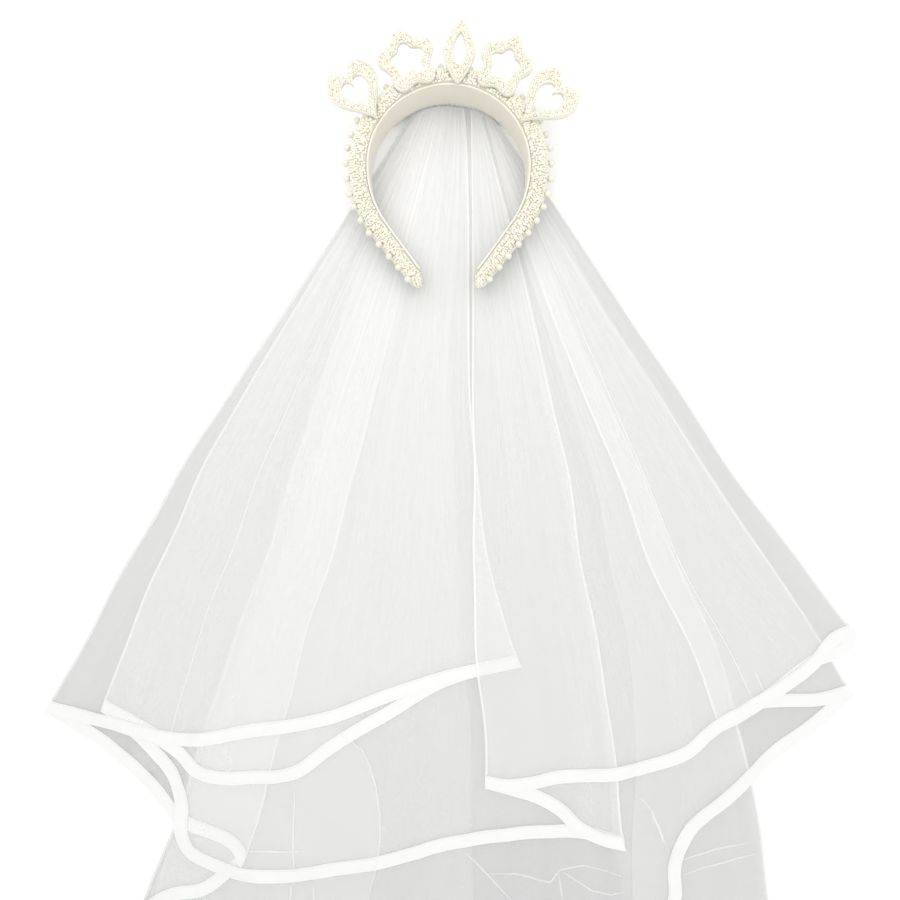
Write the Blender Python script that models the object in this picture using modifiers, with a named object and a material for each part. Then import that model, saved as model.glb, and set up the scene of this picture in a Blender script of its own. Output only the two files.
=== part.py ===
"""Pearl headband with a two-tier veil, lying on its back edge with its front edge up.

Units are metres and +Z is up. The headband opens towards -Y and the veil spreads that way, flat on the
ground. Shapes are worked out about the centre of the crown's round part, and at the end everything is moved
so that the middle of the footprint lies at the origin.
"""

import math

import bmesh
import bpy
from mathutils import Vector

for thing in list(bpy.data.objects):
    bpy.data.objects.remove(thing, do_unlink=True)

# Fit between pieces
CLEARANCE = 0.0003

# Headband, measured on its inner face
CROWN_RADIUS = 0.060
TEMPLE_RADIUS = 0.065
TEMPLE_TURN = math.radians(37)
TIP_RUN = 0.052
BAND_DEPTH = 0.030
BAND_PADDING = 0.016
TIP_DEPTH = 0.014
TIP_PADDING = 0.012
TIP_ROUNDING = 0.009
FULL_DEPTH_ANGLE = math.radians(68)
LINING_WALL = 0.0018
LINING_END = 0.010

# Large pearls
PEARL_DIAMETER = 0.0052
PEARL_COUNT = 40
PEARL_RISE_CROWN = 0.60
PEARL_RISE_TIP = 0.85

# Upright ornaments
FELT_THICKNESS = 0.0020
PEARL_BED = 0.0035
PEARL_BED_LIP = 0.0009
ORNAMENT_STROKE = 0.0098

# Veil
CLOTH_WALL = 0.0010
CLOTH_GAP = 0.0003
FOLDED_LAYERS = 9
VEIL_SPAN = 0.637
VEIL_DROP = 0.609
RIBBON_WIDTH = 0.010
HEADING_WIDTH = 0.010
GATHER_GAP = 0.0008
HEADING_ANGLE = math.radians(42)

# Counts of faces round and along
CROWN_STEPS = 18
TEMPLE_STEPS = 5
RUN_STEPS = 3
PADDING_STEPS = 10
SHEET_ROWS = 8

LAYER_PITCH = CLOTH_WALL + CLOTH_GAP
STACK_HEIGHT = (FOLDED_LAYERS - 1) * LAYER_PITCH + CLOTH_WALL
BAND_BACK = STACK_HEIGHT + CLEARANCE
BAND_FRONT = BAND_BACK + BAND_DEPTH
CROWN_RUN = CROWN_RADIUS * math.pi / 2
TEMPLE_LENGTH = TEMPLE_RADIUS * TEMPLE_TURN
BAND_HALF = CROWN_RUN + TEMPLE_LENGTH + TIP_RUN
HEADING_INNER = CROWN_RADIUS + LINING_WALL
GATHER_RADIUS = HEADING_INNER - GATHER_GAP

# Ornaments: place round the crown (degrees, right is +), distance of the middle from the crown's centre as a
# share of the band's outer radius, tilt (degrees, clockwise is +), width and height in metres
ORNAMENTS = (
    # name, form, around, reach, tilt, width, height
    ("ornament_heart_left", "heart", -52.0, 1.100, -36.0, 0.0400, 0.0475),
    ("ornament_flower_left", "flower", -21.5, 1.085, -21.0, 0.0455, 0.0485),
    ("ornament_lozenge", "lozenge", 5.5, 1.105, 4.0, 0.0245, 0.0485),
    ("ornament_flower_right", "flower", 29.5, 1.105, 24.0, 0.0430, 0.0475),
    ("ornament_heart_right", "heart", 57.0, 1.115, 49.0, 0.0400, 0.0475),
)

# Fold lines of the veil, from the gathered heading down to the hem: angle on the heading in degrees, then
# (across, down) at one third, at two thirds and at the hem, as shares of VEIL_SPAN and VEIL_DROP
FOLD_LINES = {
    # name: heading angle, one third, two thirds, hem
    "back_tail": (-20.0, (-0.130, 0.345), (-0.250, 0.695), (-0.385, 1.060)),
    "back_free": (-7.4, (-0.081, 0.333), (-0.168, 0.667), (-0.257, 0.996)),
    "left_outer": (-30.8, (-0.204, 0.262), (-0.362, 0.522), (-0.502, 0.791)),
    "left_inner": (-23.4, (-0.194, 0.264), (-0.333, 0.527), (-0.430, 0.792)),
    "middle_left": (11.8, (0.026, 0.241), (0.035, 0.480), (0.091, 0.732)),
    "middle_right": (16.4, (0.029, 0.296), (0.031, 0.591), (0.046, 0.891)),
    "right_slit": (24.2, (0.116, 0.319), (0.176, 0.639), (0.224, 0.969)),
    "right_crease": (28.3, (0.125, 0.264), (0.227, 0.529), (0.339, 0.816)),
    "right_inner": (33.4, (0.187, 0.254), (0.346, 0.509), (0.506, 0.767)),
    "right_outer": (37.0, (0.199, 0.228), (0.344, 0.456), (0.508, 0.685)),
    "front_free": (29.2, (0.137, 0.337), (0.218, 0.673), (0.222, 1.085)),
    "lower_left": (-28.0, (-0.156, 0.346), (-0.268, 0.698), (-0.405, 1.102)),
    "lower_right": (36.0, (0.189, 0.363), (0.338, 0.725), (0.396, 1.089)),
    "left_flap": (-4.0, (0.000, 0.385), (0.022, 0.776), (0.031, 1.177)),
    "right_flap": (20.0, (0.118, 0.385), (0.187, 0.776), (0.227, 1.172)),
}

# Panels of each tier in the order in which the cloth runs: layer in the stack, the fold line that the panel
# starts from, the one that it ends at, and its hem between them (across, down)
UPPER_TIER = (
    # layer, from, to, hem points between
    (2, "back_tail", "back_free", ((-0.345, 1.034), (-0.300, 1.030))),
    (3, "back_free", "left_outer",
     ((-0.275, 0.970), (-0.300, 0.955), (-0.334, 0.938), (-0.394, 0.876), (-0.444, 0.831))),
    (6, "left_outer", "middle_left",
     ((-0.435, 0.811), (-0.355, 0.828), (-0.313, 0.830), (-0.229, 0.819), (-0.149, 0.807), (-0.060, 0.767),
      (0.026, 0.745))),
    (5, "middle_left", "left_inner",
     ((0.029, 0.745), (-0.014, 0.760), (-0.095, 0.809), (-0.149, 0.848), (-0.187, 0.876), (-0.247, 0.883),
      (-0.286, 0.883), (-0.318, 0.870), (-0.336, 0.850))),
    (4, "left_inner", "right_slit",
     ((-0.382, 0.835), (-0.352, 0.875), (-0.344, 0.908), (-0.345, 0.938), (-0.332, 0.971), (-0.301, 0.994),
      (-0.249, 1.013), (-0.206, 1.013), (-0.137, 1.002), (0.013, 0.971), (0.120, 0.954), (0.184, 0.956))),
    (7, "right_slit", "middle_right", ((0.181, 0.956), (0.159, 0.944), (0.140, 0.925), (0.116, 0.911))),
    (8, "middle_right", "right_outer",
     ((0.067, 0.894), (0.146, 0.882), (0.213, 0.874), (0.304, 0.850), (0.338, 0.816), (0.386, 0.789),
      (0.461, 0.727), (0.484, 0.697))),
    (7, "right_outer", "right_crease", ((0.497, 0.708), (0.458, 0.729), (0.413, 0.769), (0.387, 0.791))),
    (6, "right_crease", "right_inner", ((0.390, 0.788), (0.418, 0.785), (0.458, 0.781))),
    (5, "right_inner", "front_free",
     ((0.460, 0.815), (0.423, 0.845), (0.377, 0.885), (0.346, 0.914), (0.307, 0.957), (0.291, 0.995),
      (0.286, 1.040), (0.268, 1.075))),
)
LOWER_TIER = (
    (0, "left_flap", "lower_left", ((-0.149, 1.180), (-0.286, 1.174), (-0.374, 1.147))),
    (1, "lower_left", "lower_right",
     ((-0.374, 1.147), (-0.286, 1.174), (-0.149, 1.180), (0.000, 1.180), (0.137, 1.177), (0.249, 1.172),
      (0.336, 1.147))),
    (0, "lower_right", "right_flap", ((0.336, 1.147), (0.249, 1.172))),
)

model = bpy.data.collections.new("pearl_headband")
bpy.context.scene.collection.children.link(model)
origin = bpy.data.objects.new("headband_origin", None)
model.objects.link(origin)


def make_material(name, color, roughness, sheen=0.0):
    """A plain Principled material."""
    material = bpy.data.materials.new(name)
    material.use_nodes = True
    shader = material.node_tree.nodes["Principled BSDF"]
    shader.inputs["Base Color"].default_value = (*color, 1.0)
    shader.inputs["Roughness"].default_value = roughness
    shader.inputs["Metallic"].default_value = 0.0
    shader.inputs["Sheen Weight"].default_value = sheen
    return material


SEED_PEARL_COVER = make_material("seed_pearl_cover", (0.88, 0.85, 0.76), 0.35)
FELT = make_material("cream_felt", (0.82, 0.78, 0.68), 0.9, 0.3)
LINING = make_material("cream_lining", (0.76, 0.72, 0.60), 0.8, 0.2)
LARGE_PEARL = make_material("large_pearl", (0.90, 0.88, 0.80), 0.2)
ORGANZA = make_material("white_organza", (0.88, 0.88, 0.88), 0.7, 0.2)
SATIN = make_material("white_satin", (0.95, 0.95, 0.95), 0.35)


def add_object(name, mesh, material, smooth_angle=None):
    """Link a mesh to the model under its name, on the common origin."""
    piece = bpy.data.objects.new(name, mesh)
    mesh.materials.append(material)
    model.objects.link(piece)
    piece.parent = origin
    if smooth_angle is not None:
        mesh.shade_smooth()
        mesh.set_sharp_from_angle(angle=smooth_angle)
    return piece


def band_point(along, outward):
    """Plan position at a distance along the band from the crown's middle, and outward from its inner face."""
    side = math.copysign(1.0, along)
    run = abs(along)
    if run <= CROWN_RUN:
        angle = run / CROWN_RADIUS
        radius = CROWN_RADIUS + outward
        return Vector((side * radius * math.sin(angle), radius * math.cos(angle)))
    turn = min(run - CROWN_RUN, TEMPLE_LENGTH) / TEMPLE_RADIUS
    radius = TEMPLE_RADIUS + outward
    x = CROWN_RADIUS - TEMPLE_RADIUS + radius * math.cos(turn)
    y = -radius * math.sin(turn)
    straight = max(run - CROWN_RUN - TEMPLE_LENGTH, 0.0)
    x -= straight * math.sin(turn)
    y -= straight * math.cos(turn)
    return Vector((side * x, y))


def ease(share):
    """Smooth step from 0 to 1."""
    share = min(max(share, 0.0), 1.0)
    return share * share * (3.0 - 2.0 * share)


def taper(along):
    """Share of the way from the full-depth part of the crown to the tip."""
    start = FULL_DEPTH_ANGLE * CROWN_RADIUS
    return min(max((abs(along) - start) / (BAND_HALF - start), 0.0), 1.0)


def band_depth(along):
    """Size of the band from back edge to front edge."""
    return BAND_DEPTH + (TIP_DEPTH - BAND_DEPTH) * ease(taper(along)) ** 0.8


def band_padding(along):
    """Thickness of the padded wall, lining included."""
    return BAND_PADDING + (TIP_PADDING - BAND_PADDING) * ease(taper(along))


def tip_fullness(along):
    """Factor that rounds the last stretch of the band to its tip."""
    left = max(BAND_HALF - abs(along), 0.0)
    if left >= TIP_ROUNDING:
        return 1.0
    return math.sqrt(1.0 - (1.0 - left / TIP_ROUNDING) ** 2)


def band_stations(end_gap, tip_steps):
    """Distances along the band where its sections stand, closer together at the tips."""
    right = [CROWN_RUN * step / (CROWN_STEPS / 2) for step in range(1, CROWN_STEPS // 2 + 1)]
    right += [CROWN_RUN + TEMPLE_LENGTH * step / TEMPLE_STEPS for step in range(1, TEMPLE_STEPS + 1)]
    run_start = CROWN_RUN + TEMPLE_LENGTH
    run_end = BAND_HALF - max(end_gap, TIP_ROUNDING)
    right += [run_start + (run_end - run_start) * step / RUN_STEPS for step in range(1, RUN_STEPS + 1)]
    for step in range(1, tip_steps + 1):
        right.append(BAND_HALF - TIP_ROUNDING * (1.0 - math.sin(0.96 * math.pi / 2 * step / tip_steps)))
    return [-value for value in reversed(right)] + [0.0] + right


def loft(name, sections, material, smooth_angle):
    """One closed body through rings of points, with flat ends."""
    bm = bmesh.new()
    rings = [[bm.verts.new(point) for point in section] for section in sections]
    for first, second in zip(rings, rings[1:]):
        count = len(first)
        for index in range(count):
            following = (index + 1) % count
            bm.faces.new((first[index], first[following], second[following], second[index]))
    bm.faces.new(rings[0])
    bm.faces.new(rings[-1])
    bmesh.ops.recalc_face_normals(bm, faces=bm.faces)
    mesh = bpy.data.meshes.new(name)
    bm.to_mesh(mesh)
    bm.free()
    return add_object(name, mesh, material, smooth_angle)


def padded_section(along):
    """Section of the padded core: a straight inner wall and a rounded outer side."""
    inner = LINING_WALL + CLEARANCE
    half = band_depth(along) / 2
    reach = band_padding(along) - inner
    fullness = tip_fullness(along)
    middle = BAND_BACK + half
    points = []
    for step in range(PADDING_STEPS + 1):
        angle = -math.pi / 2 + math.pi * step / PADDING_STEPS
        outward = reach * max(math.cos(angle), 0.0) ** (2 / 3)
        rise = half * math.copysign(abs(math.sin(angle)) ** (2 / 3), angle)
        centre = inner + reach / 2
        outward = centre + (inner + outward - centre) * fullness
        place = band_point(along, outward)
        points.append((place.x, place.y, middle + rise * fullness))
    return points


def strip_section(along, inner, outer, low, high):
    """Rectangular section of a strip that follows the band."""
    places = [band_point(along, inner), band_point(along, outer)]
    return [
        (places[0].x, places[0].y, low),
        (places[1].x, places[1].y, low),
        (places[1].x, places[1].y, high),
        (places[0].x, places[0].y, high),
    ]


def make_band():
    """Padded core, lining and piping."""
    loft("band", [padded_section(along) for along in band_stations(0.0, 3)], SEED_PEARL_COVER, math.radians(60))
    lining_stops = [along for along in band_stations(LINING_END, 0)]
    sections = []
    for along in lining_stops:
        front = BAND_BACK + band_depth(along)
        sections.append(strip_section(along, 0.0, LINING_WALL, BAND_BACK, front - LINING_WALL - CLEARANCE))
    loft("lining", sections, LINING, math.radians(40))
    piping_rings = []
    radius = LINING_WALL / 2
    for along in lining_stops:
        middle = BAND_BACK + band_depth(along) - radius
        ring = []
        for step in range(6):
            angle = math.pi * step / 3
            place = band_point(along, radius + radius * math.cos(angle))
            ring.append((place.x, place.y, middle + radius * math.sin(angle)))
        piping_rings.append(ring)
    loft("piping", piping_rings, FELT, math.radians(80))


def pearl_stops():
    """Distances along the band that space the large pearls evenly on its outer face."""
    steps = 400
    end = BAND_HALF - TIP_ROUNDING
    alongs = [-end + 2 * end * step / steps for step in range(steps + 1)]
    reach = BAND_PADDING + PEARL_DIAMETER / 2
    walked = [0.0]
    for first, second in zip(alongs, alongs[1:]):
        walked.append(walked[-1] + (band_point(second, reach) - band_point(first, reach)).length)
    stops = []
    for index in range(PEARL_COUNT):
        goal = walked[-1] * index / (PEARL_COUNT - 1)
        nearest = min(range(steps + 1), key=lambda step: abs(walked[step] - goal))
        stops.append(alongs[nearest])
    return stops


def make_pearls():
    """Large pearls along the outer face, higher at the crown than at the tips."""
    radius = PEARL_DIAMETER / 2
    for number, along in enumerate(pearl_stops(), 1):
        share = ease(abs(along) / BAND_HALF)
        rise = PEARL_RISE_CROWN + (PEARL_RISE_TIP - PEARL_RISE_CROWN) * share
        off_middle = 2 * rise - 1
        inner = LINING_WALL + CLEARANCE
        reach = band_padding(along) - inner
        across = (1 - abs(off_middle) ** 3) ** (1 / 3)
        square = Vector((across ** 2 / reach, off_middle * abs(off_middle) * 2 / band_depth(along))).normalized()
        place = band_point(along, inner + reach * across + square.x * (radius + CLEARANCE))
        level = BAND_BACK + rise * band_depth(along) + square.y * (radius + CLEARANCE)
        bm = bmesh.new()
        bmesh.ops.create_uvsphere(bm, u_segments=10, v_segments=6, radius=radius)
        mesh = bpy.data.meshes.new(f"pearl_{number:02d}")
        bm.to_mesh(mesh)
        bm.free()
        pearl = add_object(f"pearl_{number:02d}", mesh, LARGE_PEARL, math.radians(80))
        pearl.location = (place.x, place.y, level)


def heart_outline(turn):
    """Unit heart, its point towards -Y."""
    x = math.sin(turn) ** 3 / 2
    y = (13 * math.cos(turn) - 5 * math.cos(2 * turn) - 2 * math.cos(3 * turn) - math.cos(4 * turn) + 2.5) / 29
    return x, y


def flower_outline(turn):
    """Unit flower of five petals, one towards +Y."""
    radius = 0.5 * (0.87 + 0.13 * math.cos(5 * turn))
    return radius * math.sin(turn), radius * math.cos(turn)


def lozenge_outline(turn):
    """Unit lozenge with slightly rounded sides."""
    x = 0.5 * math.copysign(abs(math.sin(turn)) ** 1.5, math.sin(turn))
    y = 0.5 * math.copysign(abs(math.cos(turn)) ** 1.5, math.cos(turn))
    return x, y


OUTLINES = {"heart": (heart_outline, 28), "flower": (flower_outline, 40), "lozenge": (lozenge_outline, 24)}


def make_ornaments():
    """Open plates: a felt back with a raised bed for the pearls, standing out over the crown."""
    low = BAND_FRONT + CLEARANCE
    felt_top = low + FELT_THICKNESS
    bed_top = felt_top + PEARL_BED
    for name, form, around, reach, tilt, width, height in ORNAMENTS:
        outline, count = OUTLINES[form]
        hole_wide = width - 2 * ORNAMENT_STROKE
        hole_high = height - 2.2 * ORNAMENT_STROKE
        if form == "lozenge":
            hole_wide = width - 1.5 * ORNAMENT_STROKE
        lip = 2 * PEARL_BED_LIP
        loops = (
            (width, height, low),
            (width, height, felt_top),
            (width - lip, height - lip, bed_top),
            (hole_wide + lip, hole_high + lip, bed_top),
            (hole_wide, hole_high, felt_top),
            (hole_wide, hole_high, low),
        )
        bm = bmesh.new()
        rings = []
        for wide, high, level in loops:
            ring = []
            for step in range(count):
                x, y = outline(2 * math.pi * step / count)
                ring.append(bm.verts.new((x * wide, y * high, level)))
            rings.append(ring)
        for first, second in zip(rings, rings[1:] + rings[:1]):
            for index in range(count):
                following = (index + 1) % count
                bm.faces.new((first[index], first[following], second[following], second[index]))
        bmesh.ops.recalc_face_normals(bm, faces=bm.faces)
        mesh = bpy.data.meshes.new(name)
        bm.to_mesh(mesh)
        bm.free()
        plate = add_object(name, mesh, FELT, math.radians(35))
        out = reach * (CROWN_RADIUS + BAND_PADDING)
        turn = math.radians(around)
        plate.location = (out * math.sin(turn), out * math.cos(turn), 0.0)
        plate.rotation_euler = (0.0, 0.0, -math.radians(tilt))


def veil_place(across, down):
    """Plan position of a share across and down the veil."""
    return Vector((across * VEIL_SPAN, GATHER_RADIUS - down * VEIL_DROP))


def heading_place(degrees):
    """Plan position on the gathered heading."""
    angle = math.radians(degrees)
    return Vector((math.sin(angle), math.cos(angle))) * GATHER_RADIUS


def fold_place(name, down):
    """Point on a fold line, from 0 at the heading to 1 at the hem."""
    degrees, third, two_thirds, hem = FOLD_LINES[name]
    points = (heading_place(degrees), veil_place(*third), veil_place(*two_thirds), veil_place(*hem))
    place = Vector((0.0, 0.0))
    for index, point in enumerate(points):
        weight = 1.0
        for other in range(4):
            if other != index:
                weight *= (down * 3 - other) / (index - other)
        place += point * weight
    return place


def hem_stops(panel):
    """Hem points of a panel with their shares of the way along it."""
    layer, start, end, between = panel
    points = [fold_place(start, 1.0)] + [veil_place(*pair) for pair in between] + [fold_place(end, 1.0)]
    walked = [0.0]
    for first, second in zip(points, points[1:]):
        walked.append(walked[-1] + (second - first).length)
    return points, [value / walked[-1] for value in walked]


def panel_place(panel, share, down, hem):
    """Point of a panel: between its fold lines, bent to the heading at the top and to its hem below."""
    layer, start, end, between = panel
    place = fold_place(start, down).lerp(fold_place(end, down), share)
    straight_hem = fold_place(start, 1.0).lerp(fold_place(end, 1.0), share)
    place += (hem - straight_hem) * down ** 2
    start_angle = FOLD_LINES[start][0]
    end_angle = FOLD_LINES[end][0]
    straight_top = heading_place(start_angle).lerp(heading_place(end_angle), share)
    round_top = heading_place(start_angle + (end_angle - start_angle) * share)
    return place + (round_top - straight_top) * (1.0 - down) ** 3


def sheet_columns(tier):
    """Columns of a folded sheet: each gives its plan position down the sheet, its level and its hem inset.

    A column is (row points, level, hem point, inward direction at the hem).
    """
    rows = [step / SHEET_ROWS for step in range(SHEET_ROWS)]
    columns = []
    for number, panel in enumerate(tier):
        layer, start, end, between = panel
        level = CLOTH_WALL / 2 + layer * LAYER_PITCH
        points, shares = hem_stops(panel)
        panel_columns = []
        for index, (hem, share) in enumerate(zip(points, shares)):
            line = [panel_place(panel, share, down, hem) for down in rows]
            up = (panel_place(panel, share, 0.9, hem) - hem).normalized()
            before = points[max(index - 1, 0)]
            after = points[min(index + 1, len(points) - 1)]
            edge = (after - before).normalized()
            square = Vector((-edge.y, edge.x))
            if square.dot(up) < 0:
                square = -square
            at_fold = index in (0, len(points) - 1)
            inward = up if at_fold else (square + up).normalized()
            panel_columns.append([line, level, hem, inward])
        for column, neighbour, has_fold in (
            (0, 1, number > 0),
            (-1, -2, number < len(tier) - 1),
        ):
            if not has_fold:
                continue
            other_layer = tier[number - 1][0] if column == 0 else tier[number + 1][0]
            radius = abs(other_layer - layer) * LAYER_PITCH / 2
            line, level, hem, inward = panel_columns[column]
            outward = [fold_direction(panel_columns[column][0][row], panel_columns[neighbour][0][row])
                       for row in range(len(rows))]
            hem_outward = fold_direction(hem, panel_columns[neighbour][2])
            hem_outward = (hem_outward - inward * hem_outward.dot(inward)).normalized()
            line = [place - direction * radius for place, direction in zip(line, outward)]
            panel_columns[column] = [line, level, hem - hem_outward * radius, inward]
            if column == -1:
                middle = (level + CLOTH_WALL / 2 + other_layer * LAYER_PITCH) / 2
                side = math.copysign(1.0, level - middle)
                for angle in (math.pi / 4, 0.0, -math.pi / 4):
                    reach = radius * math.cos(angle)
                    rise = side * radius * math.sin(angle)
                    bend = [place + direction * reach for place, direction in zip(line, outward)]
                    bent_hem = hem - hem_outward * (radius - reach)
                    panel_columns.append([bend, middle + rise, bent_hem, inward])
        columns += panel_columns
    return columns


def fold_direction(edge, inside):
    """Unit direction in plan from inside a panel to its folded edge."""
    direction = edge - inside
    return direction.normalized() if direction.length > 0 else Vector((0.0, 0.0))


def folded_sheet(name, columns, lines, material):
    """Solid sheet through columns of plan points."""
    bm = bmesh.new()
    grid = []
    for line, (row_points, level, hem, inward) in zip(lines, columns):
        grid.append([bm.verts.new((point.x, point.y, level)) for point in line])
    for first, second in zip(grid, grid[1:]):
        for row in range(len(first) - 1):
            bm.faces.new((first[row], first[row + 1], second[row + 1], second[row]))
    mesh = bpy.data.meshes.new(name)
    bm.to_mesh(mesh)
    bm.free()
    sheet = add_object(name, mesh, material)
    wall = sheet.modifiers.new("wall", "SOLIDIFY")
    wall.thickness = CLOTH_WALL
    wall.offset = 0.0
    return sheet


def make_tier(tier, sheet_name, ribbon_name):
    """A folded tier of the veil and the ribbon that edges it."""
    columns = sheet_columns(tier)
    sheet_lines = []
    ribbon_lines = []
    for row_points, level, hem, inward in columns:
        edge = hem + inward * (RIBBON_WIDTH + CLEARANCE)
        sheet_lines.append(row_points + [edge])
        ribbon_lines.append([hem + inward * RIBBON_WIDTH, hem])
    folded_sheet(sheet_name, columns, sheet_lines, ORGANZA)
    folded_sheet(ribbon_name, columns, ribbon_lines, SATIN)


def make_heading():
    """Gathered heading of the veil, under the back edge of the crown."""
    sections = []
    steps = 12
    for step in range(steps + 1):
        angle = HEADING_ANGLE * (2 * step / steps - 1)
        radial = Vector((math.sin(angle), math.cos(angle)))
        ring = []
        for out, level in (
            (0.0, 0.0),
            (1.0, 0.0),
            (1.0, 0.7),
            (0.8, 1.0),
            (0.0, 1.0),
        ):
            place = radial * (HEADING_INNER + out * HEADING_WIDTH)
            ring.append((place.x, place.y, level * STACK_HEIGHT))
        sections.append(ring)
    loft("veil_heading", sections, ORGANZA, math.radians(40))


def centre_on_footprint():
    """Move the common origin so that the middle of the footprint lies at the world's origin."""
    bpy.context.view_layer.update()
    graph = bpy.context.evaluated_depsgraph_get()
    corners = []
    for piece in model.objects:
        if piece.type == "MESH":
            evaluated = piece.evaluated_get(graph)
            corners += [evaluated.matrix_world @ Vector(corner) for corner in evaluated.bound_box]
    for axis in (0, 1):
        values = [corner[axis] for corner in corners]
        origin.location[axis] = -(min(values) + max(values)) / 2
    bpy.context.view_layer.update()


make_band()
make_pearls()
make_ornaments()
make_heading()
make_tier(UPPER_TIER, "veil_upper_tier", "veil_upper_ribbon")
make_tier(LOWER_TIER, "veil_lower_tier", "veil_lower_ribbon")
centre_on_footprint()
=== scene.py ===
"""Finish of a pearl headband with a two-tier veil, lying on its back edge with the veil spread flat.

Units are metres and +Z is up. The headband opens towards -Y. Distances along the band run from the middle of
the crown, and outward means away from the head.
"""

import math
from collections import namedtuple

import bmesh
import bpy
import numpy as np
from bpy.props import FloatProperty, FloatVectorProperty, IntProperty, PointerProperty
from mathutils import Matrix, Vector


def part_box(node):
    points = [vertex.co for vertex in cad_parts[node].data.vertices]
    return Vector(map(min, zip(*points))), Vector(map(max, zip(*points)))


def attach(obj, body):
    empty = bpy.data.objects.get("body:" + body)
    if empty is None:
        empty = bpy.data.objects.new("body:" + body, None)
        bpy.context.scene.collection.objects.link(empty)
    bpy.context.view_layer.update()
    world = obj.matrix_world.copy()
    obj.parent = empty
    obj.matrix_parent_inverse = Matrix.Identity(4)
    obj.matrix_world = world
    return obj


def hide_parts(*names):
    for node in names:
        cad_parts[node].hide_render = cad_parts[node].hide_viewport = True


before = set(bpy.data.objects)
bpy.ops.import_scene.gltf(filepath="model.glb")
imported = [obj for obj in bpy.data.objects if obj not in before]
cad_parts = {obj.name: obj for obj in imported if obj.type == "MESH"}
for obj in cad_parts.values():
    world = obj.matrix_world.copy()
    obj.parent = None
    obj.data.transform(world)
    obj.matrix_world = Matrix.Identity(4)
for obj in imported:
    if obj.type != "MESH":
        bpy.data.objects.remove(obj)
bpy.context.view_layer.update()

bl_info = {
    "name": "Pearl Headband Finish",
    "version": (1, 0, 0),
    "blender": (4, 5, 0),
    "location": "View3D > Sidebar > Headband",
    "description": "Seed pearls, felt, lining, organza and satin ribbon of a pearl headband with a veil",
    "category": "Object",
}

MODEL = "pearl_headband_finish"

# Sizes of the headband, as the solids have them
CLEARANCE = 0.0003
CROWN_RADIUS = 0.060
TEMPLE_RADIUS = 0.065
TEMPLE_TURN = math.radians(37)
TIP_RUN = 0.052
BAND_DEPTH = 0.030
BAND_PADDING = 0.016
TIP_DEPTH = 0.014
TIP_PADDING = 0.012
TIP_ROUNDING = 0.009
FULL_DEPTH_ANGLE = math.radians(68)
LINING_WALL = 0.0018
LINING_END = 0.010
CROWN_RUN = CROWN_RADIUS * math.pi / 2
TEMPLE_LENGTH = TEMPLE_RADIUS * TEMPLE_TURN
BAND_HALF = CROWN_RUN + TEMPLE_LENGTH + TIP_RUN

BAND_LOW, BAND_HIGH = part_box("band")
BAND_BACK = BAND_LOW.z
BAND_FRONT = BAND_BACK + BAND_DEPTH
CROWN = np.array([(BAND_LOW.x + BAND_HIGH.x) / 2, BAND_HIGH.y - CROWN_RADIUS - BAND_PADDING])

# Sizes of the veil, as the solids have them
VEIL_SPAN = 0.637
VEIL_DROP = 0.609
RIBBON_WIDTH = 0.010
HEADING_INNER = CROWN_RADIUS + LINING_WALL
HEADING_WIDTH = 0.010
HEADING_ANGLE = math.radians(42)
HEADING_COVER = 0.0008
GATHER_RADIUS = HEADING_INNER - HEADING_COVER
HEADING_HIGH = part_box("veil_heading")[1].z

# Sizes of the finish: the felt lies a little inside the solid, and an ornament's pearls lie in a bed
COVER_INSET = 0.0005
BEAD_BED = 0.0013
BEAD_MARGIN = 0.0013
PIPING_STRAND = 0.0011
PIPING_GIRTH = 0.0057
CREASE_HALF = 0.0007
# The crease mark gives a pinched crease more opacity and a painted highlight in the organza.
CREASE_MARK = 0.8
GATHER_FULLNESS = 1.15
MERGE_DISTANCE = 0.000002

# Layer number above every panel of the veil
ABOVE_ALL = 99

# Point on the floor that the camera stands over
CAMERA_OVER = (-0.00085, 0.06255)

Ornament = namedtuple("Ornament", "name form around reach tilt width height")
Panel = namedtuple("Panel", "layer start end between")

# Ornaments: place round the crown (degrees, right is +), distance of the middle from the crown's centre as a
# share of the band's outer radius, tilt (degrees, clockwise is +), width and height in metres
ORNAMENT_STROKE = 0.0098
ORNAMENTS = (
    # name, form, around, reach, tilt, width, height
    Ornament("ornament_heart_left", "heart", -52.0, 1.100, -36.0, 0.0400, 0.0475),
    Ornament("ornament_flower_left", "flower", -21.5, 1.085, -21.0, 0.0455, 0.0485),
    Ornament("ornament_lozenge", "lozenge", 5.5, 1.105, 4.0, 0.0245, 0.0485),
    Ornament("ornament_flower_right", "flower", 29.5, 1.105, 24.0, 0.0430, 0.0475),
    Ornament("ornament_heart_right", "heart", 57.0, 1.115, 49.0, 0.0400, 0.0475),
)

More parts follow.
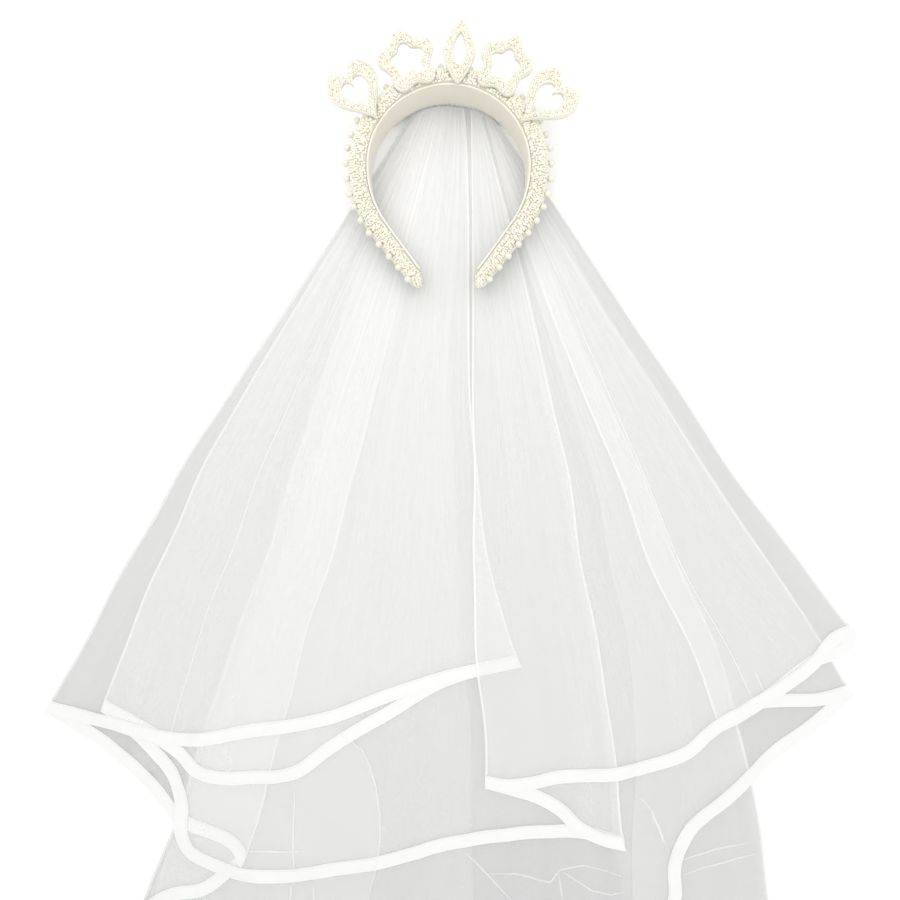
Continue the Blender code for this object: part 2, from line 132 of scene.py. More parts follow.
# Fold lines of the veil, from the gathered heading down to the hem: angle on the heading in degrees, then
# (across, down) at one third, at two thirds and at the hem, as shares of VEIL_SPAN and VEIL_DROP
FOLD_LINES = {
    # name: heading angle, one third, two thirds, hem
    "back_tail": (-20.0, (-0.130, 0.345), (-0.250, 0.695), (-0.385, 1.060)),
    "back_free": (-7.4, (-0.081, 0.333), (-0.168, 0.667), (-0.257, 0.996)),
    "left_outer": (-30.8, (-0.204, 0.262), (-0.362, 0.522), (-0.502, 0.791)),
    "left_inner": (-23.4, (-0.194, 0.264), (-0.333, 0.527), (-0.430, 0.792)),
    "middle_left": (11.8, (0.026, 0.241), (0.035, 0.480), (0.091, 0.732)),
    "middle_right": (16.4, (0.029, 0.296), (0.031, 0.591), (0.046, 0.891)),
    "right_slit": (24.2, (0.116, 0.319), (0.176, 0.639), (0.224, 0.969)),
    "right_crease": (28.3, (0.125, 0.264), (0.227, 0.529), (0.339, 0.816)),
    "right_inner": (33.4, (0.187, 0.254), (0.346, 0.509), (0.506, 0.767)),
    "right_outer": (37.0, (0.199, 0.228), (0.344, 0.456), (0.508, 0.685)),
    "front_free": (29.2, (0.137, 0.337), (0.218, 0.673), (0.222, 1.085)),
    "lower_left": (-28.0, (-0.156, 0.346), (-0.268, 0.698), (-0.405, 1.102)),
    "lower_right": (36.0, (0.189, 0.363), (0.338, 0.725), (0.396, 1.089)),
    "left_flap": (-4.0, (0.000, 0.385), (0.022, 0.776), (0.031, 1.177)),
    "right_flap": (20.0, (0.118, 0.385), (0.187, 0.776), (0.227, 1.172)),
}

# Panels of each tier in the order in which the cloth runs: layer in the stack, the fold line that the panel
# starts from, the one that it ends at, and its hem between them (across, down)
UPPER_TIER = tuple(Panel(*row) for row in (
    # layer, from, to, hem points between
    (2, "back_tail", "back_free", ((-0.345, 1.034), (-0.300, 1.030))),
    (3, "back_free", "left_outer",
     ((-0.275, 0.970), (-0.300, 0.955), (-0.334, 0.938), (-0.394, 0.876), (-0.444, 0.831))),
    (6, "left_outer", "middle_left",
     ((-0.435, 0.811), (-0.355, 0.828), (-0.313, 0.830), (-0.229, 0.819), (-0.149, 0.807), (-0.060, 0.767),
      (0.026, 0.745))),
    (5, "middle_left", "left_inner",
     ((0.029, 0.745), (-0.014, 0.760), (-0.095, 0.809), (-0.149, 0.848), (-0.187, 0.876), (-0.247, 0.883),
      (-0.286, 0.883), (-0.318, 0.870), (-0.336, 0.850))),
    (4, "left_inner", "right_slit",
     ((-0.382, 0.835), (-0.352, 0.875), (-0.344, 0.908), (-0.345, 0.938), (-0.332, 0.971), (-0.301, 0.994),
      (-0.249, 1.013), (-0.206, 1.013), (-0.137, 1.002), (0.013, 0.971), (0.120, 0.954), (0.184, 0.956))),
    (7, "right_slit", "middle_right", ((0.181, 0.956), (0.159, 0.944), (0.140, 0.925), (0.116, 0.911))),
    (8, "middle_right", "right_outer",
     ((0.067, 0.894), (0.146, 0.882), (0.213, 0.874), (0.304, 0.850), (0.338, 0.816), (0.386, 0.789),
      (0.461, 0.727), (0.484, 0.697))),
    (7, "right_outer", "right_crease", ((0.497, 0.708), (0.458, 0.729), (0.413, 0.769), (0.387, 0.791))),
    (6, "right_crease", "right_inner", ((0.390, 0.788), (0.418, 0.785), (0.458, 0.781))),
    (5, "right_inner", "front_free",
     ((0.460, 0.815), (0.423, 0.845), (0.377, 0.885), (0.346, 0.914), (0.307, 0.957), (0.291, 0.995),
      (0.286, 1.040), (0.268, 1.075))),
))
LOWER_TIER = tuple(Panel(*row) for row in (
    # layer, from, to, hem points between
    (0, "left_flap", "lower_left", ((-0.149, 1.180), (-0.286, 1.174), (-0.374, 1.147))),
    (1, "lower_left", "lower_right",
     ((-0.374, 1.147), (-0.286, 1.174), (-0.149, 1.180), (0.000, 1.180), (0.137, 1.177), (0.249, 1.172),
      (0.336, 1.147))),
    (0, "lower_right", "right_flap", ((0.336, 1.147), (0.249, 1.172))),
))

# Pressed creases that run down a panel: the panel's first fold line, then the share of the way across it
PRESSED_CREASES = {"left_outer": (0.265,), "middle_right": (0.70,)}

# Corner of the lower tier that lies turned back under the upper one, from its top edge down: points on its
# left and its right edge, as (across, down) shares
TURNED_CORNER = (
    # left edge, right edge
    ((-0.293, 0.811), (-0.138, 0.811)),
    ((-0.320, 0.845), (-0.114, 0.836)),
    ((-0.333, 0.890), (-0.094, 0.875)),
    ((-0.345, 0.940), (-0.087, 0.930)),
    ((-0.357, 0.990), (-0.088, 0.985)),
    ((-0.370, 1.040), (-0.101, 1.036)),
    ((-0.376, 1.065), (-0.108, 1.065)),
)

# Thin pinched creases on the veil's upper surface, as (across, down) shares
PINCHED_CREASES = (
    ((-0.192, 0.895), (-0.194, 0.945), (-0.193, 0.998)),
    ((-0.196, 1.015), (-0.198, 1.036)),
    ((-0.169, 1.015), (-0.168, 1.036)),
    ((-0.252, 0.970), (-0.215, 0.972), (-0.179, 0.970)),
    ((0.022, 0.974), (0.056, 1.012), (0.078, 1.036)),
    ((0.046, 1.003), (0.083, 1.001), (0.127, 1.013), (0.138, 0.996), (0.169, 0.992), (0.219, 1.006)),
    ((0.137, 1.000), (0.142, 1.036)),
    ((0.143, 0.999), (0.179, 1.025), (0.203, 1.031), (0.219, 1.026)),
    ((0.239, 0.901), (0.253, 0.919), (0.274, 0.970)),
    ((0.294, 1.003), (0.336, 0.988), (0.382, 0.974)),
    ((-0.046, 0.079), (-0.044, 0.095), (-0.046, 0.112)),
    ((-0.138, 0.815), (-0.121, 0.827), (-0.107, 0.841), (-0.098, 0.862), (-0.091, 0.888), (-0.086, 0.925),
     (-0.086, 0.963), (-0.092, 1.000), (-0.101, 1.036)),
    ((0.381, 0.736), (0.393, 0.765)),
    ((0.251, 0.922), (0.262, 0.940), (0.268, 0.962)),
    ((0.290, 0.984), (0.330, 0.970), (0.372, 0.960)),
)


def color_property(name, description, default):
    """A colour setting."""
    return FloatVectorProperty(name=name, description=description, default=default, subtype="COLOR",
                               size=3, min=0.0, max=1.0)


def length_property(name, description, default):
    """A length setting in metres."""
    return FloatProperty(name=name, description=description, default=default, unit="LENGTH", precision=5)


class HeadbandBeadSettings(bpy.types.PropertyGroup):
    """Seed pearls and large pearls."""

    seed_diameter: length_property("Seed pearl", "Diameter of a seed pearl", 0.0021)
    seed_spacing: length_property("Seed spacing", "Distance between neighbouring seed pearls", 0.0019)
    seed_sink: length_property("Seed sink", "How deep a seed pearl's middle lies under the cover", 0.0)
    seed_color: color_property("Seed colour", "Main colour of the seed pearls", (0.92, 0.89, 0.78))
    large_color: color_property("Large colour", "Main colour of the large pearls", (0.83, 0.80, 0.69))


class HeadbandFabricSettings(bpy.types.PropertyGroup):
    """Felt cover, lining, piping and ornament plates."""

    cover_color: color_property("Cover", "Colour of the felt between the seed pearls", (0.74, 0.71, 0.60))
    felt_color: color_property("Felt", "Colour of the ornament plates and the piping", (0.88, 0.85, 0.76))
    lining_color: color_property("Lining", "Colour of the lining on the inner face", (0.88, 0.84, 0.73))
    lining_weave: length_property("Lining weave", "Width of a rib of the lining", 0.0006)


class HeadbandVeilSettings(bpy.types.PropertyGroup):
    """Organza sheets and their satin ribbon."""

    sheet_color: color_property("Organza", "Colour of organza on other cloth", (0.835, 0.835, 0.825))
    # Painted shadow: the lowest layer is a grey copy of the organza that stands for the veil's shadow on the
    # floor, which the organza does not cast.
    bare_shadow_color: color_property("Bare organza", "Colour of organza on the floor", (0.435, 0.435, 0.43))
    ribbon_color: color_property("Ribbon", "Colour of the satin ribbon", (0.80, 0.80, 0.79))
    sheet_cover: FloatProperty(name="Cover", description="Share of light that one layer stops",
                               default=0.27, min=0.0, max=1.0, subtype="FACTOR")
    # Painted shadow: the lowest layer is made more opaque so that its grey darkens the floor beneath it.
    bare_cover: FloatProperty(name="Bare cover", description="Share of light that the lowest layer stops",
                              default=0.50, min=0.0, max=1.0, subtype="FACTOR")
    layer_pitch: length_property("Layer pitch", "Height that one layer adds to those above it", 0.0010)
    drape_reach: length_property("Drape reach", "Distance in which cloth sinks beside a layer", 0.014)
    wave_height: length_property("Wave height", "Height of the widest waves of the veil", 0.0035)
    column_spacing: length_property("Column spacing", "Distance between columns at the hem", 0.0045)
    rows: IntProperty(name="Rows", description="Rows of faces from the heading to the hem", default=96, min=8)
    ribbon_wall: length_property("Ribbon wall", "Thickness of the folded ribbon", 0.0006)


class HeadbandStageSettings(bpy.types.PropertyGroup):
    """Floor, lights and camera."""

    floor_color: color_property("Floor", "Colour of the floor", (0.95, 0.95, 0.95))
    world_strength: FloatProperty(name="Room light", description="Strength of the light from all round",
                                  default=0.80, min=0.0)
    key_power: FloatProperty(name="Key light", description="Power of the large soft light overhead",
                             default=9.0, min=0.0, unit="POWER")
    camera_height: length_property("Camera height", "Height of the camera above the floor", 0.60)
    lens: FloatProperty(name="Lens", description="Focal length of the camera in millimetres", default=30.0)


SETTINGS = {
    "headband_beads": HeadbandBeadSettings,
    "headband_fabric": HeadbandFabricSettings,
    "headband_veil": HeadbandVeilSettings,
    "headband_stage": HeadbandStageSettings,
}

# Shader sockets that take one value all over
UNIFORM_SOCKETS = {
    "coat": "Coat Weight",
    "coat_roughness": "Coat Roughness",
    "sheen": "Sheen Weight",
    "specular": "Specular IOR Level",
}


class Value:
    """A socket of a finish. Arithmetic on it adds Math nodes."""

    def __init__(self, finish, socket):
        self.finish = finish
        self.socket = socket

    def math(self, operation, *others):
        """The result of a Math node with this value first."""
        inputs = dict(enumerate((self, *others)))
        return self.finish.add("ShaderNodeMath", {"operation": operation}, inputs)

    def __add__(self, other):
        return self.math("ADD", other)

    __radd__ = __add__

    def __mul__(self, other):
        return self.math("MULTIPLY", other)

    __rmul__ = __mul__

    def __sub__(self, other):
        return self.math("SUBTRACT", other)

    def __rsub__(self, other):
        return self * -1.0 + other

    def __truediv__(self, other):
        return self.math("DIVIDE", other)

    def between(self, low, high):
        """This value's share of the way from low to high, held to 0 to 1."""
        inputs = {"Value": self, "From Min": low, "From Max": high}
        return self.finish.add("ShaderNodeMapRange", {"clamp": True}, inputs)


class Finish:
    """A material built from a Principled shader and the nodes that feed it."""

    def __init__(self, name, color, roughness, **uniform):
        self.material = bpy.data.materials.new(name)
        self.material.use_nodes = True
        self.tree = self.material.node_tree
        self.shader = self.tree.nodes["Principled BSDF"]
        self.shader.inputs["Base Color"].default_value = (*color, 1.0)
        self.shader.inputs["Roughness"].default_value = roughness
        for socket, value in uniform.items():
            self.shader.inputs[UNIFORM_SOCKETS[socket]].default_value = value

    def add(self, kind, settings, inputs, output=0):
        """Add a node: its settings come first, then the values or links of its sockets."""
        node = self.tree.nodes.new(kind)
        for name, value in settings.items():
            if name == "stops":
                ramp = node.color_ramp.elements
                while len(ramp) < len(value):
                    ramp.new(0.5)
                for element, (position, color) in zip(ramp, value):
                    element.position = position
                    element.color = (*color, 1.0)
            else:
                setattr(node, name, value)
        for key, value in inputs.items():
            if isinstance(value, Value):
                self.tree.links.new(value.socket, node.inputs[key])
            else:
                node.inputs[key].default_value = value
        return Value(self, node.outputs[output])

    def feed(self, socket, value):
        """Link a value to the shader."""
        self.tree.links.new(value.socket, self.shader.inputs[socket])

    def attribute(self, name):
        """A number that is stored on the mesh."""
        return self.add("ShaderNodeAttribute", {"attribute_name": name}, {}, "Fac")

    def place(self):
        """Coordinates of the object, in metres."""
        return self.add("ShaderNodeTexCoord", {}, {}, "Object")

    def along(self):
        """The two coordinates of the UV map, in metres of cloth."""
        uv = self.add("ShaderNodeUVMap", {"uv_map": "cloth"}, {})
        return [self.add("ShaderNodeSeparateXYZ", {}, {0: uv}, axis) for axis in (0, 1)]

    def point(self, x, y, z=0.0):
        """A vector from three values."""
        return self.add("ShaderNodeCombineXYZ", {}, {0: x, 1: y, 2: z})

    def noise(self, vector, scale, detail=2.0, roughness=0.5, dimensions="3D"):
        """Soft random value from 0 to 1."""
        settings = {"noise_dimensions": dimensions}
        inputs = {"Vector": vector, "Scale": scale, "Detail": detail, "Roughness": roughness}
        return self.add("ShaderNodeTexNoise", settings, inputs, 0)

    def blend(self, share, first, second):
        """A colour between two others."""
        inputs = {0: share, 6: self.color(first), 7: self.color(second)}
        return self.add("ShaderNodeMix", {"data_type": "RGBA"}, inputs, 2)

    @staticmethod
    def color(value):
        """A colour as a socket takes it."""
        return value if isinstance(value, Value) else (*value, 1.0)

    def bump(self, height, distance, strength=1.0):
        """Relief of a height in metres."""
        inputs = {"Height": height, "Distance": distance, "Strength": strength}
        self.feed("Normal", self.add("ShaderNodeBump", {}, inputs))


def shaded(color, share):
    """A colour made darker or lighter by a share."""
    return tuple(min(channel * share, 1.0) for channel in color)


def seed_pearl_finish(color):
    """Ivory imitation pearl: each bead differs a little in tone."""
    finish = Finish("seed_pearl", color, 0.28, coat=0.35, coat_roughness=0.12)
    tone = finish.attribute("tone")
    warm = (color[0], color[1] * 0.95, color[2] * 0.88)
    cool = (color[0] * 0.96, color[1] * 1.02, color[2] * 1.05)
    finish.feed("Base Color", finish.blend(tone, warm, cool))
    finish.feed("Roughness", tone * 0.12 + 0.22)
    return finish.material


def large_pearl_finish(color):
    """Larger imitation pearl with a deep coat and faint clouds."""
    finish = Finish("large_pearl", color, 0.18, coat=0.7, coat_roughness=0.05)
    cloud = finish.noise(finish.place(), 260.0, 3.0)
    finish.feed("Base Color", finish.blend(cloud, shaded(color, 0.90), shaded(color, 1.06)))
    return finish.material


def felt_finish(name, color, grain):
    """Felt: matted fibres in colour and relief."""
    finish = Finish(name, color, 0.92, sheen=0.25)
    fibre = finish.noise(finish.place(), 900.0, 4.0, 0.7)
    matting = finish.noise(finish.place(), 160.0, 2.0)
    shade = fibre * 0.6 + matting * 0.4
    finish.feed("Base Color", finish.blend(shade, shaded(color, 0.86), shaded(color, 1.1)))
    finish.bump(fibre, grain)
    return finish.material


def lining_finish(color, rib):
    """Grosgrain lining: ribs across the band, crossed by a fine weft."""
    finish = Finish("lining_grosgrain", color, 0.75, sheen=0.2)
    along, across = finish.along()
    ribs = (along * (2 * math.pi / rib)).math("SINE") * 0.5 + 0.5
    weft = (across * (2 * math.pi / (rib * 0.6))).math("SINE") * 0.5 + 0.5
    stain = finish.noise(finish.place(), 40.0, 3.0)
    shade = ribs * 0.45 + weft * 0.15 + stain * 0.4
    finish.feed("Base Color", finish.blend(shade, shaded(color, 0.88), shaded(color, 1.08)))
    finish.bump(ribs * 0.8 + weft * 0.2, 0.00006)
    return finish.material


def piping_finish(color):
    """Twisted cord: strands wind round the piping."""
    finish = Finish("piping_cord", color, 0.6, sheen=0.15)
    along, across = finish.along()
    turns = along / PIPING_STRAND + across / PIPING_GIRTH * 2.0
    strand = (turns * (2 * math.pi)).math("SINE") * 0.5 + 0.5
    finish.feed("Base Color", finish.blend(strand, shaded(color, 0.88), shaded(color, 1.12)))
    finish.bump(strand, 0.00012)
    return finish.material


def organza_finish(veil):
    """Sheer organza.

    The layer that lies on the ground alone is painted greyer than those on other cloth, as painted shadow of
    the veil on the floor. Gathers and folds are denser, and are painted lighter as a painted highlight.
    """
    finish = Finish("white_organza", veil.sheet_color, 0.62, specular=0.25)
    along, down = finish.along()
    bare = 1.0 - finish.attribute("over").between(-0.0004, 0.0004)
    gather = finish.attribute("gather")
    fold = finish.attribute("fold")
    streak = finish.noise(finish.point(along * 55.0, down * 1.6), 1.0, 3.0, 0.6)
    broad = finish.noise(finish.point(along * 9.0, down * 2.2), 1.0, 2.0)
    weave = finish.noise(finish.point(along, down), 700.0, 2.0, 0.8)
    density = (streak - 0.5) * (gather * 1.8 + 0.32) + (broad - 0.5) * 0.30 + (weave - 0.5) * 0.22
    thickness = 1.0 + density
    # The lowest layer is more opaque, to carry its painted shadow grey.
    stopped = (bare * (veil.bare_cover - veil.sheet_cover) + veil.sheet_cover) * thickness
    stopped = stopped + gather * 0.08 + fold * 0.24
    finish.feed("Alpha", stopped.math("MINIMUM", 0.95).math("MAXIMUM", 0.05))
    # Painted shadow: the lowest layer takes the grey copy of the organza colour.
    tone = finish.blend(bare, veil.sheet_color, veil.bare_shadow_color)
    # Painted highlight: gather streaks near the heading are painted lighter than the organza.
    shadow_and_gather_highlight = finish.blend(streak.between(0.35, 0.7) * gather, tone, shaded(veil.sheet_color, 1.12))
    # Painted highlight: folds and pinched creases are painted lighter; their extra opacity is denser cloth.
    finish.feed("Base Color", finish.blend(fold * 0.45, shadow_and_gather_highlight, shaded(veil.sheet_color, 1.15)))
    finish.bump(streak * 0.6 + weave * 0.05, 0.0006, 0.5)
    return finish.material


def satin_finish(color):
    """Satin ribbon: fine warp lines, a sewn line beside its inner edge and soft puckers, with painted shade
    in their hollows and a painted sheen on their crests.
    """
    finish = Finish("white_satin", color, 0.34, sheen=0.2)
    along, across = finish.along()
    warp = finish.noise(finish.point(along * 120.0, across * 5200.0), 1.0, 2.0)
    pucker_and_sheen = finish.noise(finish.point(along * 130.0, across * 60.0), 1.0, 2.0)
    seam = 1.0 - (across - (RIBBON_WIDTH - 0.0012)).math("ABSOLUTE").between(0.0001, 0.0004)
    stitch = seam * ((along / 0.0026).math("FRACT") - 0.5).math("ABSOLUTE").between(0.05, 0.15)
    # Painted shade and sheen: the puckers are painted darker in their hollows and lighter on their crests.
    shade = warp * 0.3 + pucker_and_sheen * 0.5 + 0.2 - stitch * 0.5
    finish.feed("Base Color", finish.blend(shade, shaded(color, 0.95), shaded(color, 1.06)))
    finish.feed("Roughness", warp * 0.12 + 0.28)
    finish.bump(pucker_and_sheen * 1.0 + warp * 0.06 - stitch * 0.5, 0.0004, 0.6)
    return finish.material


def joined(*coordinates):
    """Points from arrays of coordinates, which are stretched to one shape."""
    return np.stack(np.broadcast_arrays(*coordinates), -1)


def unit(vectors):
    """Vectors of the same directions and of length 1."""
    return vectors / np.maximum(np.linalg.norm(vectors, axis=1, keepdims=True), 1e-9)


def distance_walked(points):
    """Distance along a line of points, from 0 at the first one."""
    return np.concatenate([[0.0], np.cumsum(np.linalg.norm(np.diff(points, axis=0), axis=1))])


def band_plan(along, outward):
    """Plan positions at distances along the band and outward from its inner face."""
    along, outward = np.broadcast_arrays(np.asarray(along, float), np.asarray(outward, float))
    side = np.where(along < 0, -1.0, 1.0)
    run = np.abs(along)
    crown = run / CROWN_RADIUS
    temple = np.clip(run - CROWN_RUN, 0.0, TEMPLE_LENGTH) / TEMPLE_RADIUS
    straight = np.maximum(run - CROWN_RUN - TEMPLE_LENGTH, 0.0)
    on_crown = run <= CROWN_RUN
    crown_reach = CROWN_RADIUS + outward
    temple_reach = TEMPLE_RADIUS + outward
    temple_x = CROWN_RADIUS - TEMPLE_RADIUS + temple_reach * np.cos(temple) - straight * np.sin(temple)
    temple_y = -temple_reach * np.sin(temple) - straight * np.cos(temple)
    x = np.where(on_crown, crown_reach * np.sin(crown), temple_x) * side
    y = np.where(on_crown, crown_reach * np.cos(crown), temple_y)
    return x + CROWN[0], y + CROWN[1]


def ease(share):
    """Smooth step from 0 to 1."""
    share = np.clip(share, 0.0, 1.0)
    return share * share * (3.0 - 2.0 * share)


def taper(along):
    """Share of the way from the full-depth part of the crown to the tip."""
    start = FULL_DEPTH_ANGLE * CROWN_RADIUS
    return np.clip((np.abs(along) - start) / (BAND_HALF - start), 0.0, 1.0)


def band_depth(along):
    """Size of the band from back edge to front edge."""
    return BAND_DEPTH + (TIP_DEPTH - BAND_DEPTH) * ease(taper(along)) ** 0.8


def band_padding(along):
    """Thickness of the padded wall, lining included."""
    return BAND_PADDING + (TIP_PADDING - BAND_PADDING) * ease(taper(along))


def tip_fullness(along):
    """Factor that rounds the last stretch of the band to its tip."""
    left = np.clip((BAND_HALF - np.abs(along)) / TIP_ROUNDING, 0.0, 1.0)
    return np.sqrt(1.0 - (1.0 - left) ** 2)


def cover_point(along, angle, inset):
    """Points an inset inside the padded cover, from -90 degrees at its back edge to 90 at its front edge."""
    inner = LINING_WALL + CLEARANCE
    fullness = tip_fullness(along)
    half = band_depth(along) / 2
    reach = band_padding(along) - inner
    bulge = np.maximum(np.cos(angle), 0.0) ** (2 / 3)
    lift = np.sign(np.sin(angle)) * np.abs(np.sin(angle)) ** (2 / 3)
    centre = inner + reach / 2
    outward = centre + (inner + (reach - inset) * bulge - centre) * fullness
    x, y = band_plan(along, outward)
    z = BAND_BACK + half + (half - inset) * lift * fullness
    return joined(x, y, z)


def sheet_mesh(name, points, uv=None, values=None):
    """Mesh with a vertex for each point of an array (lines, steps, 3), on the faces of Blender's own grid."""
    lines, steps = points.shape[:2]
    bm = bmesh.new()
    bmesh.ops.create_grid(bm, x_segments=lines - 1, y_segments=steps - 1, size=1.0)
    mesh = bpy.data.meshes.new(name)
    bm.to_mesh(mesh)
    bm.free()
    unit = np.empty(len(mesh.vertices) * 3, np.float32)
    mesh.vertices.foreach_get("co", unit)
    unit = (unit.reshape(-1, 3) + 1.0) / 2.0
    line = np.rint(unit[:, 0] * (lines - 1)).astype(int)
    step = np.rint(unit[:, 1] * (steps - 1)).astype(int)
    mesh.vertices.foreach_set("co", points[line, step].astype(np.float32).ravel())
    if uv is not None:
        corner = np.empty(len(mesh.loops), np.int32)
        mesh.loops.foreach_get("vertex_index", corner)
        layer = mesh.uv_layers.new(name="cloth")
        layer.uv.foreach_set("vector", uv[line[corner], step[corner]].astype(np.float32).ravel())
    for key, array in (values or {}).items():
        attribute = mesh.attributes.new(key, "FLOAT", "POINT")
        attribute.data.foreach_set("value", array[line, step].astype(np.float32))
    mesh.shade_smooth()
    return mesh


def close_mesh(mesh):
    """Merge the seams of a rolled-up grid, cap its open ends and point its faces outwards."""
    bm = bmesh.new()
    bm.from_mesh(mesh)
    bmesh.ops.remove_doubles(bm, verts=bm.verts, dist=MERGE_DISTANCE)
    bmesh.ops.holes_fill(bm, edges=[edge for edge in bm.edges if edge.is_boundary], sides=0)
    bmesh.ops.recalc_face_normals(bm, faces=bm.faces)
    for face in bm.faces:
        face.smooth = True
    bm.to_mesh(mesh)
    bm.free()
    return mesh


def bead_mesh(name, centres, radii, segments, rings, rng):
    """Joined beads: one of Blender's spheres, turned at random and repeated at each centre."""
    bm = bmesh.new()
    bmesh.ops.create_uvsphere(bm, u_segments=segments, v_segments=rings, radius=1.0)
    template = bpy.data.meshes.new("bead")
    bm.to_mesh(template)
    bm.free()
    round_points = np.empty(len(template.vertices) * 3, np.float32)
    template.vertices.foreach_get("co", round_points)
    round_points = round_points.reshape(-1, 3)
    corners = np.empty(len(template.loops), np.int32)
    template.loops.foreach_get("vertex_index", corners)
    starts = np.empty(len(template.polygons), np.int32)
    template.polygons.foreach_get("loop_start", starts)
    bpy.data.meshes.remove(template)
    count = len(centres)
    quaternion = rng.normal(size=(count, 4))
    quaternion /= np.linalg.norm(quaternion, axis=1, keepdims=True)
    w, x, y, z = quaternion.T
    turn = np.stack([
        np.stack([1 - 2 * (y * y + z * z), 2 * (x * y - z * w), 2 * (x * z + y * w)], -1),
        np.stack([2 * (x * y + z * w), 1 - 2 * (x * x + z * z), 2 * (y * z - x * w)], -1),
        np.stack([2 * (x * z - y * w), 2 * (y * z + x * w), 1 - 2 * (x * x + y * y)], -1),
    ], 1)
    points = np.einsum("nij,vj->nvi", turn, round_points) * radii[:, None, None] + centres[:, None, :]
    mesh = bpy.data.meshes.new(name)
    mesh.vertices.add(count * len(round_points))
    mesh.vertices.foreach_set("co", points.astype(np.float32).ravel())
    mesh.loops.add(count * len(corners))
    step = np.arange(count, dtype=np.int32)[:, None]
    mesh.loops.foreach_set("vertex_index", (corners[None, :] + step * len(round_points)).ravel())
    mesh.polygons.add(count * len(starts))
    mesh.polygons.foreach_set("loop_start", (starts[None, :] + step * len(corners)).ravel())
    mesh.update(calc_edges=True)
    mesh.shade_smooth()
    tone = mesh.attributes.new("tone", "FLOAT", "POINT")
    tone.data.foreach_set("value", np.repeat(rng.random(count), len(round_points)).astype(np.float32))
    return mesh


def add_piece(context, name, mesh, material, nodes=()):
    """Link a mesh at the origin, let it ride on the part and stand for the nodes that it replaces."""
    piece = bpy.data.objects.new(name, mesh)
    mesh.materials.append(material)
    collection = bpy.data.collections.get(MODEL)
    if collection is None:
        collection = bpy.data.collections.new(MODEL)
        context.scene.collection.children.link(collection)
    collection.objects.link(piece)
    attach(piece, "root")
    if nodes:
        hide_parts(*nodes)
    return piece


def ornament_outline(form, turn):
    """Unit outline of an ornament, its top towards +Y."""
    if form == "heart":
        x = np.sin(turn) ** 3 / 2
        lobes = 13 * np.cos(turn) - 5 * np.cos(2 * turn) - 2 * np.cos(3 * turn) - np.cos(4 * turn)
        return x, (lobes + 2.5) / 29
    if form == "flower":
        radius = 0.5 * (0.87 + 0.13 * np.cos(5 * turn))
        return radius * np.sin(turn), radius * np.cos(turn)
    x = 0.5 * np.sign(np.sin(turn)) * np.abs(np.sin(turn)) ** 1.5
    y = 0.5 * np.sign(np.cos(turn)) * np.abs(np.cos(turn)) ** 1.5
    return x, y


def ornament_hole(ornament):
    """Width and height of an ornament's opening."""
    strokes = 1.5 if ornament.form == "lozenge" else 2.0
    return ornament.width - strokes * ORNAMENT_STROKE, ornament.height - 2.2 * ORNAMENT_STROKE


def ornament_place(ornament, x, y):
    """Plan positions of an ornament's own coordinates."""
    out = ornament.reach * (CROWN_RADIUS + BAND_PADDING)
    turn = math.radians(ornament.around)
    lean = -math.radians(ornament.tilt)
    place_x = CROWN[0] + out * math.sin(turn) + x * math.cos(lean) - y * math.sin(lean)
    place_y = CROWN[1] + out * math.cos(turn) + x * math.sin(lean) + y * math.cos(lean)
    return place_x, place_y


def ornament_loop(ornament, width, height, count=72):
    """Closed plan outline of an ornament at a given width and height."""
    turn = np.linspace(0.0, 2 * math.pi, count, endpoint=False)
    x, y = ornament_outline(ornament.form, turn)
    return joined(*ornament_place(ornament, x * width, y * height))


def signed_distance(points, outline):
    """Distance from plan points to a closed outline, positive inside it."""
    nearest = np.full(len(points), np.inf)
    inside = np.zeros(len(points), bool)
    x, y = points[:, 0], points[:, 1]
    for start, end in zip(outline, np.roll(outline, -1, axis=0)):
        span = end - start
        square = float(span @ span)
        if square < 1e-14:
            continue
        offset_x, offset_y = x - start[0], y - start[1]
        share = np.clip((offset_x * span[0] + offset_y * span[1]) / square, 0.0, 1.0)
        gap_x, gap_y = offset_x - share * span[0], offset_y - share * span[1]
        nearest = np.minimum(nearest, gap_x * gap_x + gap_y * gap_y)
        if span[1] != 0.0:
            spans_level = (start[1] > y) != (end[1] > y)
            inside ^= spans_level & (x < start[0] + span[0] * (y - start[1]) / span[1])
    return np.where(inside, 1.0, -1.0) * np.sqrt(nearest)


def large_pearl_places():
    """Centre and radius of each large pearl, from its node's box."""
    names = sorted(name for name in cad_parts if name.startswith("pearl_"))
    corners = [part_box(name) for name in names]
    centres = np.array([(low + high) / 2 for low, high in corners])
    radius = max(high.z - low.z for low, high in corners) / 2
    return names, centres, radius


def seed_places(beads, rng):
    """Centres of the seed pearls on the band: rows at even distances from the middle of its outer face."""
    stations = np.linspace(-BAND_HALF + 0.0004, BAND_HALF - 0.0004, 900)
    angles = np.linspace(-math.pi / 2, math.pi / 2, 121)
    surface = cover_point(stations[:, None], angles[None, :], beads.seed_sink)
    steps = np.linalg.norm(np.diff(surface, axis=1), axis=2)
    walked = np.concatenate([np.zeros((len(stations), 1)), np.cumsum(steps, axis=1)], axis=1)
    middle = len(angles) // 2
    walked -= walked[:, middle:middle + 1]
    pitch = beads.seed_spacing * math.sqrt(3) / 2
    count = int(walked.max() / pitch)
    centres = []
    for row in range(-count, count + 1):
        offset = row * pitch
        line = []
        for index, along in enumerate(stations):
            if walked[index, 0] + 0.0005 < offset < walked[index, -1] - 0.0007:
                line.append((along, np.interp(offset, walked[index], angles)))
        if len(line) < 3:
            continue
        line = np.array(line)
        fine = cover_point(line[:, 0], line[:, 1], beads.seed_sink)
        length = distance_walked(fine)
        stops = np.arange(beads.seed_spacing * (0.3 + 0.5 * (row % 2)), length[-1], beads.seed_spacing)
        stops = stops + rng.normal(0.0, beads.seed_spacing * 0.16, len(stops))
        alongs = np.interp(stops, length, line[:, 0])
        turns = np.interp(stops, length, line[:, 1]) + rng.normal(0.0, 0.020, len(stops))
        centres.append(cover_point(alongs, np.clip(turns, -1.56, 1.56), beads.seed_sink))
    return np.concatenate(centres)


